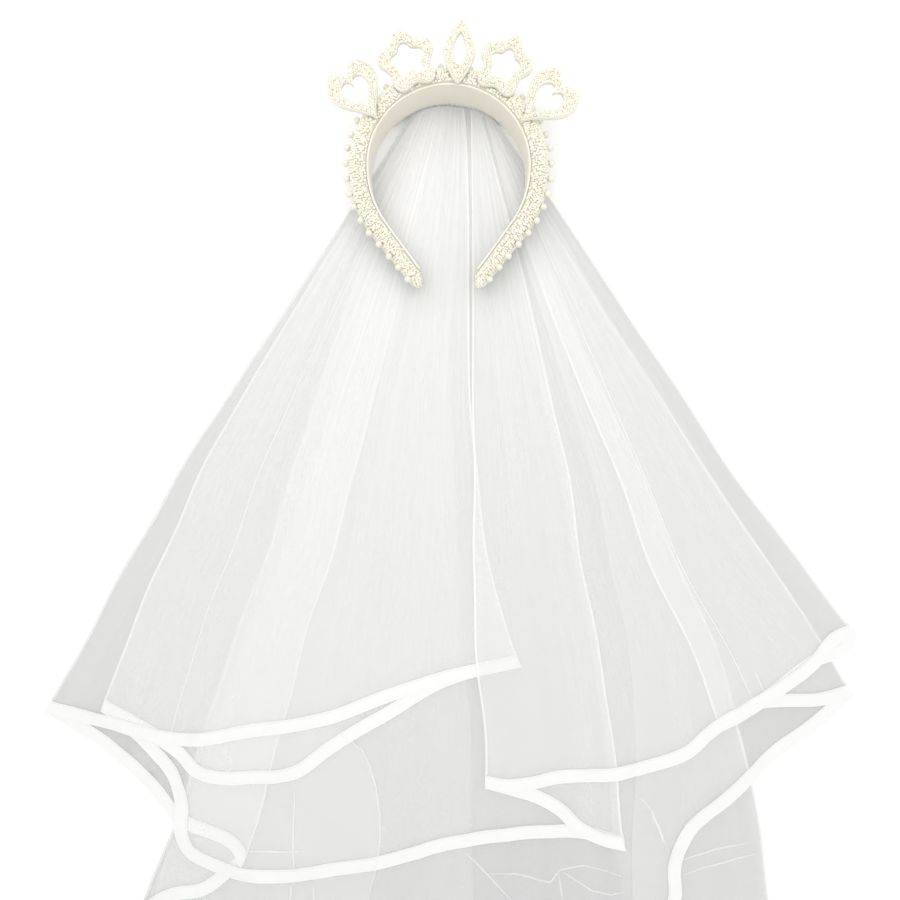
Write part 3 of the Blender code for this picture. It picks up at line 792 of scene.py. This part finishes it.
def free_of_others(centres, beads, large_centres, large_radius):
    """Which seed pearls on the band are clear of the large pearls and the ornament plates."""
    keep = np.ones(len(centres), bool)
    for centre in large_centres:
        keep &= np.linalg.norm(centres - centre, axis=1) > large_radius + beads.seed_diameter * 0.30
    near_front = centres[:, 2] > BAND_FRONT - 0.0012
    for ornament in ORNAMENTS:
        outline = ornament_loop(ornament, ornament.width, ornament.height)
        hole = ornament_loop(ornament, *ornament_hole(ornament))
        on_plate = signed_distance(centres[:, :2], outline) > -0.0004
        in_hole = signed_distance(centres[:, :2], hole) > 0.0004
        keep &= ~(near_front & on_plate & ~in_hole)
    return keep


class HEADBAND_OT_band(bpy.types.Operator):
    """Felt cover, seed pearls, lining and piping of the band."""

    bl_idname = "headband.band"
    bl_label = "Band"

    def execute(self, context):
        beads = context.scene.headband_beads
        fabric = context.scene.headband_fabric
        self.add_cover(context, fabric)
        self.add_seeds(context, beads)
        self.add_lining(context, fabric)
        self.add_piping(context, fabric)
        return {"FINISHED"}

    def add_cover(self, context, fabric):
        """The felt that the seed pearls sit in."""
        stations = np.concatenate([
            -BAND_HALF + TIP_ROUNDING * (1 - np.cos(np.linspace(0.06, math.pi / 2, 9))),
            np.linspace(-BAND_HALF + TIP_ROUNDING, BAND_HALF - TIP_ROUNDING, 150)[1:-1],
            BAND_HALF - TIP_ROUNDING * (1 - np.cos(np.linspace(math.pi / 2, 0.06, 9))),
        ])
        angles = np.linspace(-math.pi / 2, math.pi / 2, 29)
        points = cover_point(stations[:, None], angles[None, :], COVER_INSET)
        points = np.concatenate([points, points[:, :1]], axis=1)
        mesh = close_mesh(sheet_mesh("cover", points))
        material = felt_finish("cover_felt", tuple(fabric.cover_color), 0.0002)
        add_piece(context, "cover", mesh, material, ["band"])

    def add_seeds(self, context, beads):
        """Seed pearls all over the outer face and the front edge, in a left and a right piece."""
        rng = np.random.default_rng(11)
        centres = seed_places(beads, rng)
        large_centres, large_radius = large_pearl_places()[1:]
        centres = centres[free_of_others(centres, beads, large_centres, large_radius)]
        radii = beads.seed_diameter / 2 * rng.uniform(0.90, 1.15, len(centres))
        material = seed_pearl_finish(tuple(beads.seed_color))
        for name, side in (("seed_pearls_left", centres[:, 0] < CROWN[0]),
                           ("seed_pearls_right", centres[:, 0] >= CROWN[0])):
            mesh = bead_mesh(name, centres[side], radii[side], 8, 5, rng)
            add_piece(context, name, mesh, material)

    def add_lining(self, context, fabric):
        """Lining on the inner face, with soft edges."""
        end = BAND_HALF - LINING_END
        stations = np.linspace(-end, end, 220)
        low = np.full(len(stations), BAND_BACK)
        high = BAND_BACK + band_depth(stations) - LINING_WALL - CLEARANCE
        radius = 0.0004
        turn = np.linspace(0.0, 2 * math.pi, 25)[:-1] + math.pi / 24
        side_out = np.sign(np.cos(turn))
        side_up = np.sign(np.sin(turn))
        outward = LINING_WALL / 2 + side_out * (LINING_WALL / 2 - radius) + radius * np.cos(turn)
        middle = (low + high)[:, None] / 2
        half = (high - low)[:, None] / 2
        level = middle + side_up * (half - radius) + radius * np.sin(turn)
        x, y = band_plan(stations[:, None], outward[None, :])
        points = joined(x, y, level)
        points = np.concatenate([points, points[:, :1]], axis=1)
        uv = joined(stations[:, None], points[:, :, 2] - BAND_BACK)
        mesh = close_mesh(sheet_mesh("lining_cloth", points, uv))
        material = lining_finish(tuple(fabric.lining_color), fabric.lining_weave)
        add_piece(context, "lining_cloth", mesh, material, ["lining"])

    def add_piping(self, context, fabric):
        """Cord at the inner front edge."""
        end = BAND_HALF - LINING_END
        stations = np.linspace(-end, end, 240)
        radius = LINING_WALL / 2
        turn = np.linspace(0.0, 2 * math.pi, 13)
        x, y = band_plan(stations[:, None], (radius + radius * np.cos(turn))[None, :])
        level = (BAND_BACK + band_depth(stations) - radius)[:, None] + radius * np.sin(turn)[None, :]
        uv = joined(stations[:, None], turn * radius)
        mesh = close_mesh(sheet_mesh("piping_cord", joined(x, y, level), uv))
        material = piping_finish(tuple(fabric.felt_color))
        add_piece(context, "piping_cord", mesh, material, ["piping"])


class HEADBAND_OT_large_pearls(bpy.types.Operator):
    """Large pearls along the outer face."""

    bl_idname = "headband.large_pearls"
    bl_label = "Large pearls"

    def execute(self, context):
        names, centres, radius = large_pearl_places()
        rng = np.random.default_rng(5)
        radii = np.full(len(centres), radius)
        mesh = bead_mesh("large_pearls", centres, radii, 20, 12, rng)
        material = large_pearl_finish(tuple(context.scene.headband_beads.large_color))
        add_piece(context, "large_pearls", mesh, material, names)
        return {"FINISHED"}


class HEADBAND_OT_ornaments(bpy.types.Operator):
    """Upright ornaments: felt plates set with seed pearls."""

    bl_idname = "headband.ornaments"
    bl_label = "Ornaments"

    def execute(self, context):
        beads = context.scene.headband_beads
        fabric = context.scene.headband_fabric
        felt = felt_finish("ornament_felt", tuple(fabric.felt_color), 0.0002)
        pearl = seed_pearl_finish(tuple(beads.seed_color))
        rng = np.random.default_rng(23)
        for ornament in ORNAMENTS:
            self.add_plate(context, ornament, felt)
            self.add_beads(context, ornament, beads, pearl, rng)
        return {"FINISHED"}

    def add_plate(self, context, ornament, material):
        """Felt plate with rounded edges, and a dished bed for the pearls."""
        low, high = (corner.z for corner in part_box(ornament.name))
        bed = high - BEAD_BED
        hole_wide, hole_high = ornament_hole(ornament)
        rows = (
            # growth of the outer outline, of the hole, level
            (-0.0006, None, low),
            (0.0, None, low + 0.0005),
            (0.0, None, bed - 0.0009),
            (-0.0003, None, bed - 0.0003),
            (-0.0010, None, bed),
            (-0.0018, None, bed - 0.0006),
            (None, 0.0018, bed - 0.0006),
            (None, 0.0010, bed),
            (None, 0.0003, bed - 0.0003),
            (None, 0.0, bed - 0.0009),
            (None, 0.0, low + 0.0005),
            (None, 0.0006, low),
            (-0.0006, None, low),
        )
        turn = np.linspace(0.0, 2 * math.pi, 121)
        x, y = ornament_outline(ornament.form, turn)
        lines = []
        for outer, inner, level in rows:
            wide = ornament.width + 2 * outer if inner is None else hole_wide + 2 * inner
            tall = ornament.height + 2 * outer if inner is None else hole_high + 2 * inner
            lines.append(joined(*ornament_place(ornament, x * wide, y * tall), level))
        mesh = close_mesh(sheet_mesh(ornament.name + "_plate", np.array(lines)))
        add_piece(context, ornament.name + "_plate", mesh, material, [ornament.name])

    def add_beads(self, context, ornament, beads, material, rng):
        """Seed pearls in an even, slightly loose field on the plate."""
        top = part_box(ornament.name)[1].z
        spacing = beads.seed_spacing * 0.96
        half_columns = int(ornament.width / spacing)
        half_rows = int(ornament.height / spacing)
        columns = np.arange(-half_columns, half_columns + 1)
        across, up = np.meshgrid(columns, np.arange(-half_rows, half_rows + 1))
        x = ((across + 0.5 * (up % 2)) * spacing).ravel()
        y = (up * spacing * math.sqrt(3) / 2).ravel()
        x = x + rng.normal(0.0, spacing * 0.07, len(x))
        y = y + rng.normal(0.0, spacing * 0.07, len(y))
        points = joined(*ornament_place(ornament, x, y))
        margin = 2 * BEAD_MARGIN
        outline = ornament_loop(ornament, ornament.width - margin, ornament.height - margin)
        hole = ornament_loop(ornament, *(side + margin for side in ornament_hole(ornament)))
        points = points[(signed_distance(points, outline) > 0.0) & (signed_distance(points, hole) < 0.0)]
        radii = beads.seed_diameter / 2 * rng.uniform(0.88, 1.08, len(points))
        level = top - BEAD_BED + rng.uniform(-0.0002, 0.0002, len(points))
        centres = np.concatenate([points, level[:, None]], axis=1)
        mesh = bead_mesh(ornament.name + "_beads", centres, radii, 10, 6, rng)
        add_piece(context, ornament.name + "_beads", mesh, material)


def veil_place(across, down):
    """Plan position of a share across and down the veil."""
    return np.array([across * VEIL_SPAN + CROWN[0], GATHER_RADIUS - down * VEIL_DROP + CROWN[1]])


def heading_place(degrees):
    """Plan positions on the gathered heading."""
    angle = np.radians(degrees)
    return np.stack([np.sin(angle), np.cos(angle)], -1) * GATHER_RADIUS + CROWN


def fold_place(name, down):
    """Points on a fold line, from 0 at the heading to 1 at the hem."""
    degrees, third, two_thirds, hem = FOLD_LINES[name]
    knots = [heading_place(degrees), veil_place(*third), veil_place(*two_thirds), veil_place(*hem)]
    down = np.asarray(down, float)
    place = np.zeros(down.shape + (2,))
    for index, knot in enumerate(knots):
        weight = np.ones(down.shape)
        for other in range(4):
            if other != index:
                weight = weight * (down * 3 - other) / (index - other)
        place += knot * weight[..., None]
    return place


def hem_curve(panel, share):
    """Smooth hem of a panel through its hem points, and its length."""
    between = [veil_place(*pair) for pair in panel.between]
    points = np.array([fold_place(panel.start, 1.0), *between, fold_place(panel.end, 1.0)])
    walked = distance_walked(points)
    stops = walked / walked[-1]
    slopes = np.gradient(points, stops, axis=0)
    piece = np.clip(np.searchsorted(stops, share, side="right") - 1, 0, len(stops) - 2)
    span = (stops[piece + 1] - stops[piece])[:, None]
    t = (share[:, None] - stops[piece][:, None]) / span
    place = (2 * t ** 3 - 3 * t ** 2 + 1) * points[piece] + (t ** 3 - 2 * t ** 2 + t) * span * slopes[piece]
    place += (3 * t ** 2 - 2 * t ** 3) * points[piece + 1] + (t ** 3 - t ** 2) * span * slopes[piece + 1]
    return place, walked[-1]


def panel_place(panel, share, down):
    """Plan points of a panel (shares across, shares down), bent to the heading at the top and its hem below.

    The share across may differ from row to row: it is an array (columns, rows).
    """
    start, end = panel.start, panel.end
    down = np.broadcast_to(np.asarray(down, float), share.shape)
    across = share[..., None]
    fall = down[..., None]
    first, last = fold_place(start, down), fold_place(end, down)
    place = first + (last - first) * across
    first_hem, last_hem = fold_place(start, 1.0), fold_place(end, 1.0)
    hem = hem_curve(panel, share.ravel())[0]
    place += (hem.reshape(place.shape) - first_hem - (last_hem - first_hem) * across) * fall ** 2
    start_angle, end_angle = FOLD_LINES[start][0], FOLD_LINES[end][0]
    first_top, last_top = heading_place(start_angle), heading_place(end_angle)
    round_top = heading_place(start_angle + (end_angle - start_angle) * share)
    place += (round_top - first_top - (last_top - first_top) * across) * (1.0 - fall) ** 3
    return place + sway(place)


def sway(place):
    """Small sideways drift of the cloth, the same for every layer, none at the band."""
    x, y = place[..., 0] - CROWN[0], CROWN[1] - place[..., 1]
    size = 0.0016 * ease((np.hypot(x, y) - 0.10) / 0.25)
    drift_x = np.sin(31 * y + 9 * x + 0.4) + 0.6 * np.sin(57 * y - 13 * x + 2.0)
    drift_y = np.sin(38 * x + 11 * y + 1.1) + 0.5 * np.sin(71 * x + 3 * y)
    return np.stack([drift_x * size, drift_y * size], -1)


def panel_outline(panel):
    """Closed plan outline of a panel."""
    down = np.linspace(0.0, 1.0, 32)
    across = np.linspace(0.0, 1.0, 60)
    left = panel_place(panel, np.zeros((1, 32)), down)[0]
    right = panel_place(panel, np.ones((1, 32)), down)[0]
    hem = panel_place(panel, across[:, None], np.ones((1, 1)))[:, 0]
    top = panel_place(panel, np.linspace(0.0, 1.0, 8)[:, None], np.zeros((1, 1)))[:, 0]
    return np.concatenate([top, right[1:], hem[::-1][1:], left[::-1][1:-1]])


def stack_of_panels():
    """Every panel's layer and outline, both tiers."""
    return [(panel.layer, panel_outline(panel)) for panel in UPPER_TIER + LOWER_TIER]


def cloth_level(place, layer, stack, veil):
    """Height of a layer at plan points, and how far inside the cloth beneath it the points lie."""
    flat = place.reshape(-1, 2)
    height = np.full(len(flat), veil.ribbon_wall * 0.8)
    over = np.full(len(flat), -1.0)
    for other, outline in stack:
        if other < layer:
            inside = signed_distance(flat, outline)
            over = np.maximum(over, inside)
            height += veil.layer_pitch * ease(inside / veil.drape_reach + 1.0)
    height += wave(flat, veil)
    return height.reshape(place.shape[:-1]), over.reshape(place.shape[:-1])


def wave(place, veil):
    """Lift that all layers share: long waves that run from the heading, and small wrinkles near the hem."""
    x, y = place[:, 0] - CROWN[0], CROWN[1] - place[:, 1]
    far = np.hypot(x, y)
    turn = np.arctan2(x, y + 0.04)
    size = ease((far - 0.10) / 0.35)
    long_waves = 0.5 + 0.5 * np.sin(turn * 21.0 + 1.3 * np.sin(far * 9.0) + 0.6)
    narrow = 0.5 + 0.5 * np.sin(turn * 47.0 + 1.7 * np.sin(far * 13.0 + 1.0))
    wrinkles = 0.5 + 0.5 * np.sin(x * 130 + 2.2 * np.sin(y * 41) + 3.0 * np.sin(x * 17 + y * 23))
    near_hem = ease((far - 0.35) / 0.2)
    lift = long_waves ** 2 * 0.55 + narrow ** 3 * 0.20 + wrinkles ** 3 * near_hem * 0.25
    return veil.wave_height * size * lift


def column_stops(count, folded, creases):
    """Columns of a panel: share across, extra distance in metres, its limit in columns, and the fold mark.

    Beside a fold, and along a pressed crease, columns stand close together so that the mark stays narrow.
    """
    stops = [[index / count, 0.0, 0.0, 0.0] for index in range(count + 1)]
    for column, side, is_folded in ((0, 1.0, folded[0]), (count, -1.0, folded[1])):
        if is_folded:
            stops[column][3] = 1.0
            stops.append([column / count, side * 0.0010, 0.60, 0.9])
            stops.append([column / count, side * 0.0015, 0.85, 0.0])
    for crease in creases:
        middle = (int(crease * count) + 0.5) / count
        stops += [[middle, -0.0010, 0.4, 0.0], [middle, 0.0, 0.0, 0.8], [middle, 0.0010, 0.4, 0.0]]
    stops.sort(key=lambda stop: (stop[0] + math.copysign(stop[2], stop[1]) / count))
    return np.array(stops)


def bend_at(edge, panel, neighbour, width, stack, veil):
    """Fold between two panels: its plan line, the height of each panel there, and its radius."""
    own = cloth_level(edge, panel.layer, stack, veil)[0]
    other = cloth_level(edge, neighbour.layer, stack, veil)[0]
    return edge, own, other, np.minimum(np.abs(other - own) / 2, width * 0.2)


def bend_columns(panel, bend, width, down):
    """Columns that carry the cloth round a fold, from its own panel's height to the next one's."""
    edge, own, other, radius = bend
    inside = panel_place(panel, np.clip(1.0 - 2 * radius / np.maximum(width, 1e-6), 0, 1)[None, :], down)[0]
    outward = unit(edge - inside)
    columns = []
    for angle in np.linspace(-math.pi / 2, math.pi / 2, 7)[1:-1]:
        reach = radius * (1.0 - math.cos(angle))
        rise = (own + other) / 2 + (other - own) / 2 * math.sin(angle)
        columns.append(np.concatenate([edge - outward * reach[:, None], rise[:, None]], axis=1))
    return np.array(columns)


def tier_columns(tier, stack, veil):
    """Columns of a folded tier, from one free edge to the other.

    Gives the points (columns, rows, 3), the cloth beneath, the fold mark, the distance along the hem, and the
    number of each column's panel, which is -1 in a fold.
    """
    down = np.linspace(0.0, 1.0, veil.rows + 1)
    shown = []
    for number, panel in enumerate(tier):
        before = tier[number - 1] if number > 0 else None
        after = tier[number + 1] if number < len(tier) - 1 else None
        first = panel_place(panel, np.zeros((1, len(down))), down)[0]
        last = panel_place(panel, np.ones((1, len(down))), down)[0]
        width = np.linalg.norm(last - first, axis=1)
        low, high = 0.0, 1.0
        if before:
            low = bend_at(first, panel, before, width, stack, veil)[3] / width
        if after:
            bend = bend_at(last, panel, after, width, stack, veil)
            high = 1.0 - bend[3] / width
        hem_length = hem_curve(panel, np.array([0.0]))[1]
        count = max(int(hem_length / veil.column_spacing), 10)
        stops = column_stops(count, (bool(before), bool(after)), PRESSED_CREASES.get(panel.start, ()))
        shares = low + (high - low) * stops[:, :1] * np.ones((1, len(down)))
        limit = stops[:, 2:3] / count
        shares += np.clip(stops[:, 1:2] / np.maximum(width, 1e-6), -limit, limit)
        place = panel_place(panel, np.clip(shares, 0.0, 1.0), down)
        level, over = cloth_level(place, panel.layer, stack, veil)
        points = np.concatenate([place, level[..., None]], axis=-1)
        shown.append((points, over, stops[:, 3:4] * np.ones(level.shape), np.full(len(points), number)))
        if after:
            arc = bend_columns(panel, bend, width, down)
            arc_over = np.repeat(over[-1:], len(arc), axis=0)
            shown.append((arc, arc_over, np.ones(arc_over.shape), np.full(len(arc), -1)))
    points, over, fold, panels = (np.concatenate(part) for part in zip(*shown))
    return points, over, fold, distance_walked(points[:, -1]), panels


def ribbon_columns(points, along, panels):
    """Hem points and the way across the ribbon that binds the hem, square to it except beside the folds."""
    hem = points[:, -1]
    up = unit(points[:, -4, :2] - hem[:, :2])
    tangent = unit(np.gradient(hem[:, :2], along, axis=0))
    crossing = tangent[:, 0] * up[:, 1] - tangent[:, 1] * up[:, 0]
    square = joined(-tangent[:, 1], tangent[:, 0])
    for panel in range(panels.max() + 1):
        square[panels == panel] *= np.sign(crossing[panels == panel].sum())
    apart = np.abs(along[:, None] - along[panels < 0][None, :]).min(axis=1)
    share = (ease(apart / (1.6 * RIBBON_WIDTH)) * (panels >= 0))[:, None]
    inward = up / np.clip(np.abs(crossing), 0.6, 1.0)[:, None] * (1.0 - share) + square * share
    kernel = np.hanning(7)
    kernel /= kernel.sum()
    for axis in (0, 1):
        inward[:, axis] = np.convolve(np.pad(inward[:, axis], 3, mode="edge"), kernel, mode="valid")
    length = np.linalg.norm(inward, axis=1, keepdims=True)
    return hem, unit(inward) * np.clip(length, 1.0, 1.5) * RIBBON_WIDTH


def line_at(stops, corners, wanted):
    """Points at the wanted stops of a line that runs straight from corner to corner."""
    corners = np.asarray(corners)
    return np.stack([np.interp(wanted, stops, corners[:, axis]) for axis in (0, 1)], -1)


class HEADBAND_OT_veil(bpy.types.Operator):
    """Two folded tiers of organza, each with a satin ribbon on its hem."""

    bl_idname = "headband.veil"
    bl_label = "Veil"

    def execute(self, context):
        veil = context.scene.headband_veil
        organza = organza_finish(veil)
        satin = satin_finish(tuple(veil.ribbon_color))
        stack = stack_of_panels()
        self.add_tier(context, veil, stack, LOWER_TIER, "lower", organza, satin, ["floor"])
        self.add_tier(context, veil, stack, UPPER_TIER, "upper", organza, satin, ["organza_lower"])
        return {"FINISHED"}

    def add_tier(self, context, veil, stack, tier, label, organza, satin, rests_on):
        """A sheet and its ribbon."""
        points, over, fold, along, panels = tier_columns(tier, stack, veil)
        down = np.linspace(0.0, 1.0, points.shape[1])
        gather = np.ones((len(points), 1)) * ((1.0 - down) ** 3.0)[None, :]
        uv = joined(along[:, None], down * VEIL_DROP)
        mesh = sheet_mesh("organza_" + label, points, uv, {"over": over, "fold": fold, "gather": gather})
        sheet = add_piece(context, "organza_" + label, mesh, organza, [f"veil_{label}_tier"])
        sheet.visible_shadow = False
        add_extra = self.add_creases if label == "upper" else self.add_corner
        extra = add_extra(context, veil, stack, organza)
        self.declare(sheet, points, along[-1], rests_on, [extra.name])
        ribbon = self.add_ribbon(context, veil, stack, tier, points, along, panels, label, satin)

    def declare(self, sheet, points, hem_length, rests_on, extra):
        drop = float(np.linalg.norm(np.diff(points, axis=1), axis=2).sum(axis=1).max())
        first, second = points[:-1, :-1], points[1:, 1:]
        third, fourth = points[1:, :-1], points[:-1, 1:]
        cross = np.cross(second - first, fourth - third)
        spread = float(np.linalg.norm(cross, axis=-1).sum()) / 2
        area = min(spread * GATHER_FULLNESS, hem_length * drop)

    def add_corner(self, context, veil, stack, material):
        """Turned-back corner of the lower tier, between the two tiers."""
        stops = np.arange(len(TURNED_CORNER))
        rows = np.linspace(0.0, stops[-1], 49)
        sides = [[veil_place(*pair) for pair in side] for side in zip(*TURNED_CORNER)]
        left, right = (line_at(stops, corners, rows) for corners in sides)
        across = np.linspace(0.0, 1.0, 41)[:, None, None]
        place = left + (right - left) * across
        level = cloth_level(place, 2, stack, veil)[0] - veil.layer_pitch * 0.3
        points = np.concatenate([place, level[..., None]], axis=-1)
        still = np.zeros(level.shape)
        values = {"over": still + 1.0, "fold": still, "gather": still}
        mesh = sheet_mesh("organza_corner", points, place, values)
        corner = add_piece(context, "organza_corner", mesh, material)
        corner.visible_shadow = False
        return corner

    def crease_strip(self, name, corners, veil, stack):
        """Mesh of one crease: a low ridge along a line of corners."""
        corners = [veil_place(*pair) for pair in corners]
        walked = distance_walked(corners)
        steps = np.linspace(0.0, walked[-1], max(int(walked[-1] / 0.002), 6))
        middle = line_at(walked, corners, steps)
        tangent = unit(np.gradient(middle, axis=0))
        square = joined(-tangent[:, 1], tangent[:, 0])
        half = CREASE_HALF * np.sqrt(np.sin(np.linspace(0.08, math.pi - 0.08, len(steps))))[:, None]
        lines = []
        for offset, lift in ((-1.0, 0.0001), (0.0, 0.0005), (1.0, 0.0001)):
            place = middle + square * half * offset
            level = cloth_level(place, ABOVE_ALL, stack, veil)[0] + lift
            lines.append(np.concatenate([place, level[:, None]], axis=1))
        uv = joined(np.array([[0.0], [CREASE_HALF], [2 * CREASE_HALF]]), steps[None, :])
        still = np.zeros(uv.shape[:2])
        # The fold value of a crease brings its painted highlight in the organza.
        values = {"over": still + 1.0, "fold": still + CREASE_MARK, "gather": still}
        return sheet_mesh(name, np.array(lines), uv, values)

    def add_creases(self, context, veil, stack, material):
        """Thin creases pinched up from the veil's upper surface."""
        bm = bmesh.new()
        for number, corners in enumerate(PINCHED_CREASES):
            strip = self.crease_strip(f"crease_{number}", corners, veil, stack)
            bm.from_mesh(strip)
            bpy.data.meshes.remove(strip)
        mesh = bpy.data.meshes.new("organza_creases")
        bm.to_mesh(mesh)
        bm.free()
        creases = add_piece(context, "organza_creases", mesh, material)
        creases.visible_shadow = False
        return creases

    def add_ribbon(self, context, veil, stack, tier, points, along, panels, label, material):
        """Satin ribbon folded over the hem."""
        hem, inward = ribbon_columns(points, along, panels)
        steps = np.linspace(-0.04, 1.0, 8)
        lines = np.empty((len(hem), len(steps), 3))
        for index, step in enumerate(steps):
            place = hem[:, :2] + inward * step
            row_share = (points.shape[1] - 1) * np.clip(step, 0.0, 1.0) * RIBBON_WIDTH / VEIL_DROP
            upper = np.minimum(int(row_share) + 1, points.shape[1] - 1)
            share = row_share - int(row_share)
            level = points[:, -1 - int(row_share), 2] * (1 - share) + points[:, -1 - upper, 2] * share
            for number, panel in enumerate(tier):
                own = panels == number
                sheet_level = cloth_level(place[own], panel.layer, stack, veil)[0]
                level[own] = np.maximum(level[own], sheet_level + 0.0001)
            lines[:, index, :2] = place
            lines[:, index, 2] = level
        name = "ribbon_" + label
        mesh = sheet_mesh(name, lines, joined(along[:, None], steps * RIBBON_WIDTH))
        ribbon = add_piece(context, name, mesh, material, [f"veil_{label}_ribbon"])
        wall = ribbon.modifiers.new("wall", "SOLIDIFY")
        wall.thickness = veil.ribbon_wall
        wall.offset = 0.0
        rim = ribbon.modifiers.new("rim", "EDGE_SPLIT")
        rim.split_angle = math.radians(40)
        ribbon.visible_shadow = False
        return ribbon


class HEADBAND_OT_heading(bpy.types.Operator):
    """Gathered heading of the veil, sewn under the back edge of the crown."""

    bl_idname = "headband.heading"
    bl_label = "Gathered heading"

    def execute(self, context):
        veil = context.scene.headband_veil
        angles = np.linspace(-HEADING_ANGLE, HEADING_ANGLE, 420)
        turn = np.linspace(0.0, 2 * math.pi, 21)
        pleat = np.sin(angles * 95.0 + 1.5 * np.sin(angles * 17.0))
        fine = np.sin(angles * 210.0 + 2.0 * np.sin(angles * 31.0))
        size = 1.0 - 0.10 * (0.5 + 0.5 * pleat) - 0.05 * (0.5 + 0.5 * fine)
        square_x = np.sign(np.cos(turn)) * np.abs(np.cos(turn)) ** 0.6
        square_z = np.sign(np.sin(turn)) * np.abs(np.sin(turn)) ** 0.6
        radius = HEADING_INNER + HEADING_WIDTH / 2 + square_x[None, :] * HEADING_WIDTH / 2 * size[:, None]
        level = HEADING_HIGH / 2 + square_z[None, :] * HEADING_HIGH / 2 * size[:, None]
        x = CROWN[0] + radius * np.sin(angles)[:, None]
        y = CROWN[1] + radius * np.cos(angles)[:, None]
        uv = joined((angles * GATHER_RADIUS)[:, None], turn * HEADING_WIDTH / 2)
        mesh = close_mesh(sheet_mesh("gathered_heading", joined(x, y, level), uv))
        material = self.finish(veil)
        add_piece(context, "gathered_heading", mesh, material, ["veil_heading"])
        return {"FINISHED"}

    def finish(self, veil):
        """Dense gathered organza, with painted shade in the hollows of its pleats and a painted highlight on
        their crests.
        """
        color = tuple(veil.sheet_color)
        finish = Finish("gathered_organza", color, 0.7)
        along, across = finish.along()
        pleats_and_shade = finish.noise(finish.point(along * 900.0, across * 20.0), 1.0, 2.0)
        # Painted shade and highlight: the pleats are painted darker in their hollows and lighter on their
        # crests.
        finish.feed("Base Color", finish.blend(pleats_and_shade, shaded(color, 0.85), shaded(color, 1.1)))
        finish.bump(pleats_and_shade, 0.0004)
        return finish.material


class HEADBAND_OT_stage(bpy.types.Operator):
    """Pale floor, soft light and the camera straight above."""

    bl_idname = "headband.stage"
    bl_label = "Stage"

    def execute(self, context):
        settings = context.scene.headband_stage
        scene = context.scene
        bm = bmesh.new()
        bmesh.ops.create_grid(bm, x_segments=1, y_segments=1, size=4.0)
        mesh = bpy.data.meshes.new("floor")
        bm.to_mesh(mesh)
        bm.free()
        floor = bpy.data.objects.new("floor", mesh)
        mesh.materials.append(Finish("pale_floor", tuple(settings.floor_color), 0.9).material)
        scene.collection.objects.link(floor)
        world = bpy.data.worlds.new("soft_room")
        world.use_nodes = True
        background = world.node_tree.nodes["Background"]
        background.inputs["Color"].default_value = (1.0, 1.0, 1.0, 1.0)
        background.inputs["Strength"].default_value = settings.world_strength
        scene.world = world
        for name, place, size, share in (
            ("key_light", (-0.20, 0.50, 1.2), 1.8, 1.0),
            ("fill_light", (0.45, -0.25, 1.2), 1.8, 0.4),
        ):
            light = bpy.data.lights.new(name, "AREA")
            light.energy = settings.key_power * share
            light.size = size
            lamp = bpy.data.objects.new(name, light)
            lamp.location = place
            toward = Vector((0.0, 0.15, 0.0)) - Vector(place)
            lamp.rotation_euler = toward.to_track_quat("-Z", "Y").to_euler()
            scene.collection.objects.link(lamp)
        camera_data = bpy.data.cameras.new("camera")
        camera_data.lens = settings.lens
        camera = bpy.data.objects.new("camera", camera_data)
        camera.location = (*CAMERA_OVER, settings.camera_height)
        scene.collection.objects.link(camera)
        scene.camera = camera
        scene.view_settings.view_transform = "Standard"
        scene.cycles.transparent_max_bounces = 32
        return {"FINISHED"}


OPERATORS = (
    HEADBAND_OT_stage,
    HEADBAND_OT_band,
    HEADBAND_OT_large_pearls,
    HEADBAND_OT_ornaments,
    HEADBAND_OT_heading,
    HEADBAND_OT_veil,
)


class HEADBAND_PT_finish(bpy.types.Panel):
    """Sidebar panel with the settings and a button for each group of pieces."""

    bl_idname = "HEADBAND_PT_finish"
    bl_label = "Pearl Headband"
    bl_space_type = "VIEW_3D"
    bl_region_type = "UI"
    bl_category = "Headband"

    def draw(self, context):
        for name, group in SETTINGS.items():
            box = self.layout.box()
            for setting in group.__annotations__:
                box.prop(getattr(context.scene, name), setting)
        for operator in OPERATORS:
            self.layout.operator(operator.bl_idname)


def register():
    """Register the settings, the operators and the panel."""
    for name, group in SETTINGS.items():
        bpy.utils.register_class(group)
        setattr(bpy.types.Scene, name, PointerProperty(type=group))
    for operator in OPERATORS:
        bpy.utils.register_class(operator)
    bpy.utils.register_class(HEADBAND_PT_finish)


def unregister():
    """Remove what register added."""
    bpy.utils.unregister_class(HEADBAND_PT_finish)
    for operator in reversed(OPERATORS):
        bpy.utils.unregister_class(operator)
    for name, group in SETTINGS.items():
        delattr(bpy.types.Scene, name)
        bpy.utils.unregister_class(group)


def main():
    """Make every piece."""
    register()
    bpy.ops.headband.stage()
    bpy.ops.headband.band()
    bpy.ops.headband.large_pearls()
    bpy.ops.headband.ornaments()
    bpy.ops.headband.heading()
    bpy.ops.headband.veil()


if __name__ == "__main__":
    main()
